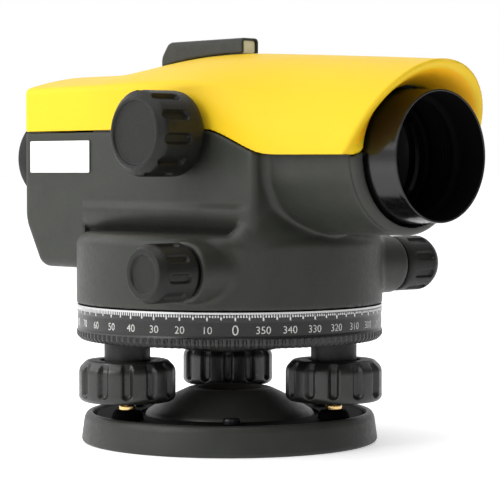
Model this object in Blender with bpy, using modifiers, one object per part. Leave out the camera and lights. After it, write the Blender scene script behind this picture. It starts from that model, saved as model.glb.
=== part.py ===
"""Automatic level: a surveyor's levelling telescope on three footscrews.

Metres, +Z up. The origin is the centre of the base plate's underside, on the standing axis.
+X is the direction the telescope looks, +Y is the observer's left.
"""

import math

import bmesh
import bpy
from mathutils import Matrix, Vector

MM = 0.001
GAP = 0.3 * MM                      # clearance between neighbours that touch or run on each other
SEAM = 0.6 * MM                     # joint between housing and cover

# ---- Driving dimensions ------------------------------------------------------------------------------
DRUM_R = 50.0 * MM                  # drum of the housing and horizontal circle
AXIS_Z = 92.5 * MM                  # line of sight of the telescope
HALF_LENGTH = 95.0 * MM             # hood tip and eyecup lie this far from the standing axis
BOX_HALF_W = 28.6 * MM              # half width of the upper housing
BOX_REAR_X = -73.6 * MM
BOX_FRONT_X = 41.8 * MM
WALL = 2.6 * MM                     # casting wall
COVER_WALL = 2.2 * MM

BASE_R = 48.5 * MM
BASE_RIM_Z = 9.7 * MM
BASE_FLOOR_Z = 4.6 * MM
DOME_TOP_Z = 17.2 * MM
THREAD_R = 15.875 / 2 * MM          # bore of the 5/8 inch tripod thread

FOOT_CIRCLE_R = 38.1 * MM
FOOT_AZIMUTHS = [math.radians(18.45 + 120.0 * step) for step in (-1, 0, 1)]
FOOT_KNOB_R = 15.5 * MM
FOOT_KNOB_Z = (14.8 * MM, 28.0 * MM)
FOOT_THREAD_R = 3.5 * MM
FOOT_FLUTES = 12

CIRCLE_Z = (33.6 * MM, 45.0 * MM)   # horizontal circle, lower and upper edge
DRUM_Z = (CIRCLE_Z[1] + GAP, 68.2 * MM)
BOX_FLOOR_Z = 69.0 * MM
TAIL_Z = 55.7 * MM
TAIL_X = -61.8 * MM                 # where the tail's bottom turns up to the rear face

SPLIT_Z = 101.0 * MM                # joint between housing and cover along the box
SPLIT_FRONT_X = 22.0 * MM           # the joint starts to slope down here ...
SPLIT_LOW_X = 43.5 * MM             # ... and runs level again from here, on the line of sight

BARREL_R = 23.9 * MM
BARREL_BORE_R = 21.0 * MM
BARREL_FRONT_X = 78.2 * MM
SLEEVE_R = 19.4 * MM
SLEEVE_BORE_R = 18.2 * MM
SLEEVE_FRONT_X = 92.7 * MM
HOOD_R = 28.5 * MM                  # outer radius of the arch over the objective

FOCUS_X = 9.5 * MM
FOCUS_Z = 99.8 * MM
FOCUS_KNOB_R = 13.5 * MM
FOCUS_KNOB_Y = (-49.0 * MM, -30.6 * MM)
FOCUS_FLUTES = 11
PINION_R = 2.0 * MM                 # pitch radius of the focusing pinion

WORM_X = 28.7 * MM
WORM_Z = 57.3 * MM
WORM_TEETH = 80
TANGENT_KNOB_R = 9.1 * MM
TANGENT_KNOB_Y = (46.4 * MM, 61.6 * MM)
TANGENT_FLUTES = 9

EYE_TUBE_R = 11.7 * MM              # outer radius of the tube that carries the eyepiece
PENDULUM_X = -42.0 * MM             # middle of the compensator

BUBBLE_X = -14.0 * MM
BUBBLE_Y = 42.0 * MM
BUBBLE_Z = 79.3 * MM                # underside of the circular level's holder

SIGHT_X = (-30.0 * MM, 10.0 * MM)
SIGHT_TOP_Z = 131.1 * MM
SIGHT_HALF_W = 3.8 * MM

FINE = 40                           # facets of large turned pieces
COARSE = 20                         # facets of small turned pieces
WELD = 0.004 * MM                   # points closer than this are one point


# ---- Scene, collections, materials -------------------------------------------------------------------
def clear_scene():
    for item in list(bpy.data.objects):
        bpy.data.objects.remove(item, do_unlink=True)


def make_collection(name):
    collection = bpy.data.collections.new(name)
    bpy.context.scene.collection.children.link(collection)
    return collection


clear_scene()
PARTS = make_collection("automatic_level")
CUTTERS = make_collection("cutters")


def paint(name, colour, roughness, metallic=0.0, transmission=0.0):
    material = bpy.data.materials.new(name)
    material.use_nodes = True
    shader = material.node_tree.nodes["Principled BSDF"]
    shader.inputs["Base Color"].default_value = (*colour, 1.0)
    shader.inputs["Roughness"].default_value = roughness
    shader.inputs["Metallic"].default_value = metallic
    shader.inputs["Transmission Weight"].default_value = transmission
    return material


GREY = paint("grey_housing_paint", (0.070, 0.073, 0.066), 0.55)
BASE_GREY = paint("grey_base_paint", (0.085, 0.088, 0.080), 0.50)
YELLOW = paint("yellow_cover_plastic", (0.96, 0.74, 0.05), 0.40)
RUBBER = paint("black_knob_rubber", (0.022, 0.023, 0.020), 0.60)
BLACK = paint("black_anodised_aluminium", (0.012, 0.012, 0.013), 0.30, 0.3)
CIRCLE_BLACK = paint("circle_black", (0.020, 0.020, 0.020), 0.45)
BRASS = paint("brass", (0.72, 0.50, 0.20), 0.30, 1.0)
STEEL = paint("steel", (0.56, 0.57, 0.58), 0.30, 1.0)
ALUMINIUM = paint("aluminium", (0.65, 0.66, 0.67), 0.40, 1.0)
GLASS = paint("optical_glass", (0.92, 0.96, 0.94), 0.03, 0.0, 1.0)
WHITE = paint("white_label_plastic", (0.90, 0.90, 0.88), 0.50)


# ---- Object helpers ----------------------------------------------------------------------------------
def add_object(name, mesh, material=None, collection=PARTS):
    item = bpy.data.objects.new(name, mesh)
    collection.objects.link(item)
    if material:
        mesh.materials.clear()
        mesh.materials.append(material)
    if collection is CUTTERS:
        item.hide_render = True
        item.display_type = "WIRE"
    return item


def facing(axis):
    """Rotation that lays local +Z along the named world axis."""
    return {
        "X": Matrix.Rotation(math.radians(90), 4, "Y"),
        "Y": Matrix.Rotation(math.radians(-90), 4, "X"),
        "Z": Matrix.Identity(4),
    }[axis]


def place(item, at=(0, 0, 0), axis="Z"):
    item.matrix_world = Matrix.Translation(Vector(at)) @ facing(axis)
    return item


def smooth(mesh):
    mesh.shade_smooth()
    mesh.set_sharp_from_angle(angle=math.radians(35))


def turned(name, profile, material=None, at=(0, 0, 0), axis="Z", facets=FINE, collection=PARTS):
    """A piece turned about its own Z: profile holds (radius, height), outer side or closed outline."""
    points = list(profile)
    closed = all(radius > 0 for radius, _ in points)
    area = sum(a[0] * b[1] - b[0] * a[1] for a, b in zip(points, points[1:] + points[:1]))
    if area > 0:
        points.reverse()
    mesh = bpy.data.meshes.new(name)
    count = len(points)
    edges = [(i, (i + 1) % count) for i in range(count if closed else count - 1)]
    mesh.from_pydata([(radius, 0, height) for radius, height in points], edges, [])
    item = add_object(name, mesh, material, collection)
    screw = item.modifiers.new("turn", "SCREW")
    screw.steps = facets
    screw.render_steps = facets
    screw.use_merge_vertices = True
    screw.merge_threshold = 0.00001
    return apply_modifiers(place(item, at, axis))


def apply_modifiers(item):
    """Turn an object's evaluated shape into its own mesh."""
    bpy.context.view_layer.update()
    evaluated = item.evaluated_get(bpy.context.evaluated_depsgraph_get())
    mesh = bpy.data.meshes.new_from_object(evaluated)
    materials = list(item.data.materials)
    item.modifiers.clear()
    item.data = mesh
    mesh.materials.clear()
    for material in materials:
        mesh.materials.append(material)
    smooth(mesh)
    return item


def rod(name, radius, low, high, material=None, at=(0, 0, 0), axis="Z", facets=COARSE, collection=PARTS):
    return turned(name, [(0, high), (radius, high), (radius, low), (0, low)],
                  material, at, axis, facets, collection)


def ring(name, inner, outer, low, high, material=None, at=(0, 0, 0), axis="Z", facets=COARSE):
    profile = [(outer, high), (outer, low), (inner, low), (inner, high)]
    return turned(name, profile, material, at, axis, facets)


def block(name, low, high, material=None, bevel=0.0, collection=PARTS):
    """A box between two corners, with its scale applied and, if asked, its edges bevelled."""
    bpy.ops.mesh.primitive_cube_add(size=1)
    item = bpy.context.object
    for owner in list(item.users_collection):
        owner.objects.unlink(item)
    size = Vector(high) - Vector(low)
    item.data.transform(Matrix.Diagonal((*size, 1.0)))
    mesh = item.data
    bpy.data.objects.remove(item)
    item = add_object(name, mesh, material, collection)
    item.name = name
    item.location = (Vector(low) + Vector(high)) / 2
    if bevel:
        add_bevel(item, bevel, 2)
    return item


def add_bevel(item, width, segments=1):
    bevel = item.modifiers.new("edges", "BEVEL")
    bevel.width = width
    bevel.segments = segments
    bevel.limit_method = "ANGLE"
    bevel.angle_limit = math.radians(50)
    bevel.use_clamp_overlap = True


def prism(name, outlines, low, high, material=None, at=(0, 0, 0), plane="XY", collection=PARTS):
    """Flat outlines (the first is the edge, the others are holes) extruded between two levels.

    plane "XY" extrudes along +Z, plane "XZ" takes (x, z) outlines and extrudes along +Y.
    """
    curve = bpy.data.curves.new(name, "CURVE")
    curve.dimensions = "2D"
    curve.fill_mode = "BOTH"
    curve.extrude = (high - low) / 2
    for outline in outlines:
        spline = curve.splines.new("POLY")
        spline.points.add(len(outline) - 1)
        for point, (x, y) in zip(spline.points, outline):
            point.co = (x, y, 0, 1)
        spline.use_cyclic_u = True
    guide = bpy.data.objects.new(name, curve)
    CUTTERS.objects.link(guide)
    bpy.context.view_layer.update()
    evaluated = guide.evaluated_get(bpy.context.evaluated_depsgraph_get())
    mesh = bpy.data.meshes.new_from_object(evaluated)
    bpy.data.objects.remove(guide)
    shape = bmesh.new()
    shape.from_mesh(mesh)
    bmesh.ops.remove_doubles(shape, verts=shape.verts, dist=WELD)
    bmesh.ops.translate(shape, verts=shape.verts, vec=(0, 0, (low + high) / 2))
    if plane == "XZ":
        bmesh.ops.rotate(shape, verts=shape.verts, matrix=Matrix.Rotation(math.radians(90), 3, "X"))
        bmesh.ops.translate(shape, verts=shape.verts, vec=(0, low + high, 0))
    bmesh.ops.recalc_face_normals(shape, faces=shape.faces)
    shape.to_mesh(mesh)
    shape.free()
    item = add_object(name, mesh, material, collection)
    item.location = at
    return item


def combine(item, other, operation):
    """Join or cut with another object, which then leaves the model."""
    boolean = item.modifiers.new(operation.lower(), "BOOLEAN")
    boolean.operation = operation
    boolean.solver = "EXACT"
    boolean.object = other
    apply_modifiers(item)
    bpy.data.objects.remove(other)
    shape = bmesh.new()
    shape.from_mesh(item.data)
    bmesh.ops.remove_doubles(shape, verts=shape.verts, dist=WELD)
    bmesh.ops.dissolve_degenerate(shape, edges=shape.edges, dist=WELD)
    shape.to_mesh(item.data)
    shape.free()
    return item


def cut(item, *cutters):
    for cutter in cutters:
        combine(item, cutter, "DIFFERENCE")
    return item


def join(item, *others):
    for other in others:
        combine(item, other, "UNION")
    return item


def hole(radius, low, high, at=(0, 0, 0), axis="Z", facets=COARSE):
    return rod("cutter", radius, low, high, None, at, axis, facets, CUTTERS)


def circle_points(radius, count, centre=(0.0, 0.0)):
    step = math.tau / count
    return [(centre[0] + radius * math.cos(i * step), centre[1] + radius * math.sin(i * step))
            for i in range(count)]


def fluted_outline(radius, flutes, depth):
    """A knob's outline: every flute is a dip between two ribs."""
    points = []
    for flute in range(flutes):
        for share, dip in ((0.0, 0.0), (0.45, 0.0), (0.62, 1.0), (0.83, 1.0)):
            angle = math.tau * (flute + share) / flutes
            reach = radius - dip * depth
            points.append((reach * math.cos(angle), reach * math.sin(angle)))
    return points


def on_circle(radius, azimuth, z=0.0):
    return (radius * math.cos(azimuth), radius * math.sin(azimuth), z)


def shift(at, dx=0.0, dy=0.0, dz=0.0):
    return (at[0] + dx, at[1] + dy, at[2] + dz)


# ---- Base plate --------------------------------------------------------------------------------------
SPRING_SCREW_AZIMUTHS = [azimuth + math.radians(60) for azimuth in FOOT_AZIMUTHS]
SPRING_PLATE_Z = (8.2 * MM, 9.0 * MM)
SPRING_SCREW_R = 1.5 * MM
SPRING_SCREW_CIRCLE_R = 36.0 * MM


def make_base_plate():
    bore = THREAD_R + 2.4 * MM
    plate = turned("base_plate", [
        (bore, 0), (BASE_R - 0.9 * MM, 0), (BASE_R, 0.9 * MM), (47.4 * MM, 8.6 * MM),
        (46.4 * MM, BASE_RIM_Z), (44.9 * MM, BASE_RIM_Z), (44.2 * MM, BASE_FLOOR_Z),
        (28.5 * MM, BASE_FLOOR_Z), (27.0 * MM, 10.0 * MM), (18.0 * MM, 15.5 * MM),
        (13.5 * MM, DOME_TOP_Z), (bore, DOME_TOP_Z)], BASE_GREY)
    pad_top = SPRING_PLATE_Z[0] - GAP
    for azimuth in SPRING_SCREW_AZIMUTHS:
        at = on_circle(SPRING_SCREW_CIRCLE_R, azimuth)
        join(plate, rod("pad", 4.5 * MM, 3.0 * MM, pad_top, None, at, collection=CUTTERS))
        cut(plate, hole(SPRING_SCREW_R + GAP, 2.0 * MM, 12 * MM, at, facets=12))
    insert_top = DOME_TOP_Z - 0.7 * MM
    ring("thread_insert", THREAD_R, bore - GAP, 0.5 * MM, insert_top, BRASS)


def make_spring_plate():
    plate = ring("spring_plate", 29.5 * MM, 43.6 * MM, *SPRING_PLATE_Z, STEEL, facets=FINE)
    for azimuth in FOOT_AZIMUTHS:
        cut(plate, hole(2.7 * MM, 7 * MM, 10 * MM, on_circle(FOOT_CIRCLE_R, azimuth)))
    for number, azimuth in enumerate(SPRING_SCREW_AZIMUTHS, 1):
        at = on_circle(SPRING_SCREW_CIRCLE_R, azimuth)
        cut(plate, hole(SPRING_SCREW_R + GAP, 7 * MM, 10 * MM, at, facets=12))
        head = SPRING_PLATE_Z[1] + GAP
        turned(f"spring_plate_screw_{number}", [
            (0, head + 1.6 * MM), (2.6 * MM, head + 1.6 * MM), (2.9 * MM, head + 1.0 * MM), (2.9 * MM, head),
            (SPRING_SCREW_R, head), (SPRING_SCREW_R, 2.4 * MM), (0, 2.4 * MM)], STEEL, at, facets=12)


# ---- Footscrews --------------------------------------------------------------------------------------
BOSS_R = 7.3 * MM
BOSS_Z = 25.6 * MM
BUSH_R = 5.6 * MM
TRIBRACH_TOP_Z = 38.0 * MM


def make_footscrew(number, azimuth):
    at = on_circle(FOOT_CIRCLE_R, azimuth)
    foot, neck = BASE_FLOOR_Z + GAP, 2.2 * MM
    turned(f"footscrew_spindle_{number}", [
        (0, 39.8 * MM), (FOOT_THREAD_R - 0.7 * MM, 39.8 * MM), (FOOT_THREAD_R, 39.1 * MM),
        (FOOT_THREAD_R, 15.0 * MM), (neck, 14.0 * MM), (neck, 7.9 * MM), (3.6 * MM, 7.2 * MM),
        (3.8 * MM, 6.4 * MM), (3.0 * MM, foot), (0, foot)], BRASS, at, facets=20)
    knob = prism(f"footscrew_knob_{number}", [
        fluted_outline(FOOT_KNOB_R, FOOT_FLUTES, 1.3 * MM), circle_points(FOOT_THREAD_R + GAP, 20)],
        *FOOT_KNOB_Z, RUBBER, at)
    cut(knob, hole(BOSS_R + 0.9 * MM, 22.8 * MM, 30 * MM, at))
    ring(f"footscrew_bush_{number}", FOOT_THREAD_R + GAP, BUSH_R - GAP, BOSS_Z + 0.4 * MM,
         TRIBRACH_TOP_Z - 0.4 * MM, BRASS, at, facets=20)


# ---- Tribrach with the bearing of the standing axis --------------------------------------------------
COLUMN_R = 11.0 * MM
COLUMN_TOP_Z = 61.0 * MM
LINER_R = (6.3 * MM, 8.0 * MM)


def make_tribrach():
    body = turned("tribrach_body", [
        (LINER_R[1] + GAP, COLUMN_TOP_Z), (COLUMN_R, COLUMN_TOP_Z), (COLUMN_R, 52.0 * MM),
        (14.0 * MM, 52.0 * MM), (14.0 * MM, TRIBRACH_TOP_Z), (46.6 * MM, TRIBRACH_TOP_Z),
        (46.6 * MM, 34.4 * MM), (16.4 * MM, 33.2 * MM), (15.4 * MM, 30.0 * MM),
        (LINER_R[1] + GAP, 30.0 * MM)], GREY)
    for azimuth in FOOT_AZIMUTHS:
        at = on_circle(FOOT_CIRCLE_R, azimuth)
        join(body, rod("boss", BOSS_R, BOSS_Z, 36 * MM, None, at, collection=CUTTERS))
        cut(body, hole(BUSH_R, BOSS_Z - MM, TRIBRACH_TOP_Z + MM, at, facets=20))
    ring("axis_liner", *LINER_R, 30.4 * MM, COLUMN_TOP_Z - 0.4 * MM, BRASS)
    ring("circle_friction_ring", 14.5 * MM, 22.0 * MM, TRIBRACH_TOP_Z + GAP, 42.2 * MM, RUBBER)


def make_horizontal_circle():
    low, high = CIRCLE_Z
    flange = high - 2.4 * MM
    turned("horizontal_circle", [
        (15.0 * MM, high), (DRUM_R - 0.4 * MM, high), (DRUM_R, high - 0.4 * MM), (DRUM_R, low + 1.4 * MM),
        (DRUM_R - 1.4 * MM, low), (47.3 * MM, low), (47.3 * MM, flange), (15.0 * MM, flange)], CIRCLE_BLACK)


def make_worm_wheel():
    """Worm wheel held on the column by a spring washer, which slips when the housing is turned by hand."""
    outer = WORM_X - 4.2 * MM - GAP
    teeth = []
    for tooth in range(WORM_TEETH):
        for share, radius in ((0.0, outer), (0.5, outer - 0.9 * MM)):
            angle = math.tau * (tooth + share) / WORM_TEETH
            teeth.append((radius * math.cos(angle), radius * math.sin(angle)))
    wheel_low = 54.3 * MM
    prism("worm_wheel", [teeth, circle_points(COLUMN_R + GAP, FINE)], wheel_low, 60.3 * MM, BRASS)
    ring("clutch_spring", COLUMN_R + 1.5 * GAP, 13.8 * MM, 52.3 * MM, wheel_low - GAP, STEEL)


def make_axis_spindle():
    flange_low, flange_top = COLUMN_TOP_Z + 0.6 * MM, BOX_FLOOR_Z - 4.1 * MM
    turned("axis_spindle", [
        (0, flange_top), (14 * MM, flange_top), (14 * MM, flange_low), (LINER_R[0] - GAP, flange_low),
        (LINER_R[0] - GAP, 30.8 * MM), (0, 30.8 * MM)], STEEL, facets=COARSE)


def make_tangent_drive():
    """One cross shaft with the worm in the middle and a knob at either end."""
    worm_half, ridge, pitch = 7.0 * MM, 4.2 * MM, 2.0 * MM
    root, shaft = 3.2 * MM, 3.0 * MM
    end = TANGENT_KNOB_Y[1] - 3.4 * MM
    half = []
    for thread in range(int(worm_half / pitch)):
        half += [(ridge, (thread + 0.25) * pitch), (root, (thread + 0.75) * pitch)]
    half += [(shaft, worm_half), (shaft, end), (0, end)]
    profile = [(radius, -y) for radius, y in reversed(half)] + half
    turned("worm_shaft", profile, STEEL, (WORM_X, 0, WORM_Z), "Y", 12)
    for side, name in ((-1, "right"), (1, "left")):
        low, high = TANGENT_KNOB_Y
        outline = fluted_outline(TANGENT_KNOB_R, TANGENT_FLUTES, 0.8 * MM)
        knob = prism(f"tangent_knob_{name}", [outline], low, high, RUBBER, (WORM_X, 0, WORM_Z), "XZ")
        if side < 0:
            knob.data.transform(Matrix.Scale(-1, 4, (0, 1, 0)))
            knob.data.flip_normals()
        bore = sorted((side * (low - MM), side * (end + 0.4 * MM)))
        cut(knob, hole(shaft + GAP, *bore, (WORM_X, 0, WORM_Z), "Y", 16))


# ---- Housing -----------------------------------------------------------------------------------------
UNDERCUT_X = -40.5 * MM             # in front of this the box's lower edges are rounded and clear the drum
UNDERCUT_TOP_Z = 78.0 * MM
UNDERCUT_R = 9.0 * MM


def side_profile(inset, floor):
    """Outline of the box and its tail seen from the side, moved in by the wall where it is the cavity."""
    top = 140 * MM
    step_x = -38.0 * MM if inset == 0 else -50.2 * MM
    front = BOX_FRONT_X - 1.15 * inset
    return [
        (BOX_REAR_X + inset, top), (BOX_REAR_X + inset, 71.5 * MM), (TAIL_X + 0.5 * inset, TAIL_Z + inset),
        (step_x, TAIL_Z + inset), (step_x, floor), (front, floor), (front, top)]


def above_split(clearance):
    """Everything above the joint line between housing and cover."""
    return [
        (-90 * MM, SPLIT_Z + clearance), (SPLIT_FRONT_X, SPLIT_Z + clearance),
        (SPLIT_LOW_X, AXIS_Z + clearance), (120 * MM, AXIS_Z + clearance), (120 * MM, 180 * MM),
        (-90 * MM, 180 * MM)]


def make_main_housing():
    drum = [(0, DRUM_Z[1]), (DRUM_R - 3.2 * MM, DRUM_Z[1]), (DRUM_R - 0.9 * MM, DRUM_Z[1] - 0.9 * MM),
            (DRUM_R, DRUM_Z[1] - 3.2 * MM), (DRUM_R, DRUM_Z[0]), (0, DRUM_Z[0])]
    housing = turned("main_housing", drum, GREY)
    box = prism("box", [side_profile(0, 66 * MM)], -BOX_HALF_W, BOX_HALF_W, None, plane="XZ",
                collection=CUTTERS)
    for side in (-1, 1):
        arc_y = BOX_HALF_W - UNDERCUT_R
        arc = [(side * (arc_y + UNDERCUT_R * math.cos(a)), UNDERCUT_TOP_Z - UNDERCUT_R * math.sin(a))
               for a in [math.radians(18 * step) for step in range(6)]]
        outline = arc + [(side * arc_y, 60 * MM), (side * 40 * MM, 60 * MM), (side * 40 * MM, UNDERCUT_TOP_Z)]
        cutter = prism("undercut", [outline], UNDERCUT_X, 60 * MM, collection=CUTTERS)
        cutter.rotation_euler = (math.radians(90), 0, math.radians(90))
        cut(box, cutter)
    boss_end = TANGENT_KNOB_Y[0] - GAP
    bosses = rod("bosses", 8.9 * MM, -boss_end, boss_end, None, (WORM_X, 0, WORM_Z), "Y", collection=CUTTERS)
    join(housing, box, bosses)
    cut(housing, prism("cutter", [above_split(0)], -60 * MM, 60 * MM, plane="XZ", collection=CUTTERS))

    sight = (0, 0, AXIS_Z)
    cavity_floor = UNDERCUT_TOP_Z - 1.5 * MM
    cavity = prism("cutter", [side_profile(WALL, cavity_floor)], -BOX_HALF_W + WALL, BOX_HALF_W - WALL,
                   plane="XZ", collection=CUTTERS)
    trough = block("cutter", (-52 * MM, -18.8 * MM, BOX_FLOOR_Z + WALL), (38 * MM, 18.8 * MM, 80 * MM),
                   collection=CUTTERS)
    cut(housing, cavity, trough, hole(DRUM_R - 3 * MM, 40 * MM, BOX_FLOOR_Z - 3.8 * MM, facets=FINE),
        hole(BARREL_BORE_R + MM, 35 * MM, 90 * MM, sight, "X", FINE),
        hole(EYE_TUBE_R + GAP, -80 * MM, -66 * MM, sight, "X"),
        hole(3.4 * MM, -35 * MM, -24 * MM, (FOCUS_X, 0, FOCUS_Z), "Y"),
        hole(3.4 * MM, -50 * MM, 50 * MM, (WORM_X, 0, WORM_Z), "Y"))
    collar_r, collar_x = HOOD_R - COVER_WALL - 0.5 * MM, BOX_FRONT_X - 3.6 * MM
    barrel = turned("barrel", [
        (BARREL_BORE_R, collar_x), (collar_r, collar_x), (collar_r, collar_x + 3 * MM),
        (BARREL_R, collar_x + 3 * MM), (BARREL_R, BARREL_FRONT_X - 1.2 * MM),
        (BARREL_R - 1.2 * MM, BARREL_FRONT_X), (BARREL_BORE_R, BARREL_FRONT_X)],
        None, sight, "X", collection=CUTTERS)
    web = block("web", (40 * MM, -9 * MM, 66.5 * MM), (46.5 * MM, 9 * MM, 70.2 * MM), collection=CUTTERS)
    join(housing, web, barrel)
    level_bracket(housing)


def level_bracket(housing):
    """Shelf on the left wall that carries the circular level."""
    shelf = prism("shelf", [[
        (BUBBLE_X - 12 * MM, BOX_HALF_W - 2.2 * MM), (BUBBLE_X + 12 * MM, BOX_HALF_W - 2.2 * MM),
        *[(BUBBLE_X + 12.5 * MM * math.cos(a), BUBBLE_Y + 12.5 * MM * math.sin(a))
          for a in [math.radians(15 * step) for step in range(13)]]]],
        BUBBLE_Z - 5.2 * MM, BUBBLE_Z - 2.2 * MM, collection=CUTTERS)
    join(housing, shelf)
    for azimuth in BUBBLE_SCREW_AZIMUTHS:
        at = (BUBBLE_X + 8.5 * MM * math.cos(azimuth), BUBBLE_Y + 8.5 * MM * math.sin(azimuth), 0)
        cut(housing, hole(1.6 * MM, BUBBLE_Z - 6 * MM, BUBBLE_Z - MM, at, facets=12))


# ---- Cover -------------------------------------------------------------------------------------------
CROWN = [(-73.6, 118.6), (-64.0, 120.4), (-52.0, 120.6), (-41.0, 120.7), (-29.5, 122.8), (-16.0, 125.0),
         (-3.5, 125.9), (10.0, 126.0), (24.0, 125.3), (47.0, 124.0), (74.0, 122.4), (95.0, 121.0)]
CREASE_Z = 115.9 * MM
CROWN_HALF_W = 12.0 * MM
ARCH_X = 46.0 * MM                  # from here to the front the cover is a plain arch over the barrel


def crown_height(x):
    """Height of the cover's ridge at a station along the telescope."""
    x_mm = x / MM
    for (x0, z0), (x1, z1) in zip(CROWN, CROWN[1:]):
        if x_mm <= x1:
            return (z0 + (z1 - z0) * max(0.0, (x_mm - x0)) / (x1 - x0)) * MM
    return CROWN[-1][1] * MM


def lower_edge(x):
    """Height of the cover's lower edge, a fine seam above the housing."""
    share = min(1.0, max(0.0, (x - SPLIT_FRONT_X) / (SPLIT_LOW_X - SPLIT_FRONT_X)))
    return SPLIT_Z + (AXIS_Z - SPLIT_Z) * share + SEAM


def along(points, share):
    """Point at a share of a polyline's length."""
    lengths = [(b - a).length for a, b in zip(points, points[1:])]
    left = share * sum(lengths)
    for a, b, length in zip(points, points[1:], lengths):
        if left <= length:
            return a.lerp(b, left / length)
        left -= length
    return points[-1]


def cover_section(x, count=11):
    """Half section from the lower edge up to the ridge: a chamfered box that turns into an arch."""
    low, top = lower_edge(x), crown_height(x)
    box_half = [
        Vector((BOX_HALF_W, low)), Vector((BOX_HALF_W, CREASE_Z)), Vector((CROWN_HALF_W + 2 * MM, top - MM)),
        Vector((CROWN_HALF_W - 3 * MM, top)), Vector((0, top))]
    height = top - AXIS_Z
    start = math.asin(min(1.0, (low - AXIS_Z) / height))
    blend = min(1.0, max(0.0, (x - 5 * MM) / (ARCH_X - 5 * MM)))
    blend = blend * blend * (3 - 2 * blend)
    half = []
    for step in range(count + 1):
        share = step / count
        angle = start + (math.pi / 2 - start) * share
        arch = Vector((HOOD_R * math.cos(angle), AXIS_Z + height * math.sin(angle)))
        if step == 0:
            arch.x = HOOD_R
        half.append(along(box_half, share).lerp(arch, blend))
    return half


def hood_edge(height):
    """Reach of the hood's swept front edge at a height above the line of sight."""
    share = max(0.0, min(1.0, height / HOOD_R))
    return BARREL_FRONT_X + 0.4 * MM + (HALF_LENGTH - BARREL_FRONT_X - 0.4 * MM) * share ** 0.87


def make_top_cover():
    stations = [-73.6, -70, -64, -52, -41, -29.5, -16, -3.5, 10, 22, 30, 38]
    rows = []
    for station in stations:
        x = station * MM
        half = cover_section(x)
        if station == stations[0]:
            half = [Vector((y, min(z, 117.2 * MM))) for y, z in half]
        right = [Vector((x, y, z)) for y, z in half]
        rows.append(right + [Vector((x, -y, z)) for y, z in reversed(half[:-1])])
    arch = cover_section(ARCH_X)
    for share in (0.0, 0.25, 0.5, 0.7, 0.85, 0.95, 1.0):
        row = []
        for y, z in arch:
            reach = hood_edge(z - AXIS_Z)
            x = ARCH_X + (reach - ARCH_X) * share
            drop = (crown_height(ARCH_X) - crown_height(x)) * (z - AXIS_Z) / (crown_height(ARCH_X) - AXIS_Z)
            row.append(Vector((x, y, z - max(0.0, drop))))
        rows.append(row + [Vector((p.x, -p.y, p.z)) for p in reversed(row[:-1])])
    shape = bmesh.new()
    grid = [[shape.verts.new(point) for point in row] for row in rows]
    for row, following in zip(grid, grid[1:]):
        for a, b, c, d in zip(row, row[1:], following[1:], following):
            shape.faces.new((a, b, c, d))
    shape.faces.new(grid[0])
    bmesh.ops.recalc_face_normals(shape, faces=shape.faces)
    mesh = bpy.data.meshes.new("top_cover")
    shape.to_mesh(mesh)
    shape.free()
    cover = add_object("top_cover", mesh, YELLOW)
    if cover.data.polygons[-1].normal.x > 0:
        cover.data.flip_normals()
    wall = cover.modifiers.new("wall", "SOLIDIFY")
    wall.thickness = COVER_WALL
    wall.offset = -1.0
    wall.use_even_offset = True
    apply_modifiers(cover)
    cut(cover, hole(EYE_TUBE_R + GAP, -80 * MM, -66 * MM, (0, 0, AXIS_Z), "X"),
        hole(3.4 * MM, -35 * MM, -24 * MM, (FOCUS_X, 0, FOCUS_Z), "Y"))


def make_peep_sight():
    low_front = crown_height(SIGHT_X[1]) + GAP
    bottom = [(x * MM, crown_height(x * MM) + GAP) for x in (-30, -16, -3.5)] + [(SIGHT_X[1], low_front)]
    outline = bottom + [
        (SIGHT_X[1], SIGHT_TOP_Z - 2 * MM), (SIGHT_X[1] - 2 * MM, SIGHT_TOP_Z),
        (SIGHT_X[0] + 4 * MM, SIGHT_TOP_Z - 0.8 * MM), (SIGHT_X[0] + 1.2 * MM, SIGHT_TOP_Z - 3 * MM)]
    body = prism("peep_sight_body", [outline], -SIGHT_HALF_W, SIGHT_HALF_W, RUBBER, plane="XZ")
    line = (0, 0, SIGHT_TOP_Z - 2.6 * MM)
    cut(body, hole(1.5 * MM, -40 * MM, 20 * MM, line, "X", 16))
    rod("peep_sight_window", 1.2 * MM, SIGHT_X[1] - 1.6 * MM, SIGHT_X[1] - 0.4 * MM, GLASS, line, "X", 16)


# ---- Telescope ---------------------------------------------------------------------------------------
SIGHT_LINE = (0, 0, AXIS_Z)


def make_objective():
    thick = BARREL_BORE_R - GAP
    turned("objective_sleeve", [
        (SLEEVE_BORE_R, 58 * MM), (thick, 58 * MM), (thick, 70 * MM), (SLEEVE_R, 70 * MM),
        (SLEEVE_R, SLEEVE_FRONT_X), (SLEEVE_BORE_R, SLEEVE_FRONT_X)], BLACK, SIGHT_LINE, "X")
    rim, sag = SLEEVE_BORE_R - GAP, 1.6 * MM
    lens = [(rim * k / 3, 69.2 * MM - sag * (k / 3) ** 2) for k in range(4)]
    lens += [(rim * k / 3, 61.5 * MM + sag * (k / 3) ** 2) for k in range(3, -1, -1)]
    turned("objective_lens", lens, GLASS, SIGHT_LINE, "X", 32)
    ring("lens_retaining_ring", 16.2 * MM, rim, 69.6 * MM, 72.0 * MM, BLACK, SIGHT_LINE, "X", 32)


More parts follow.
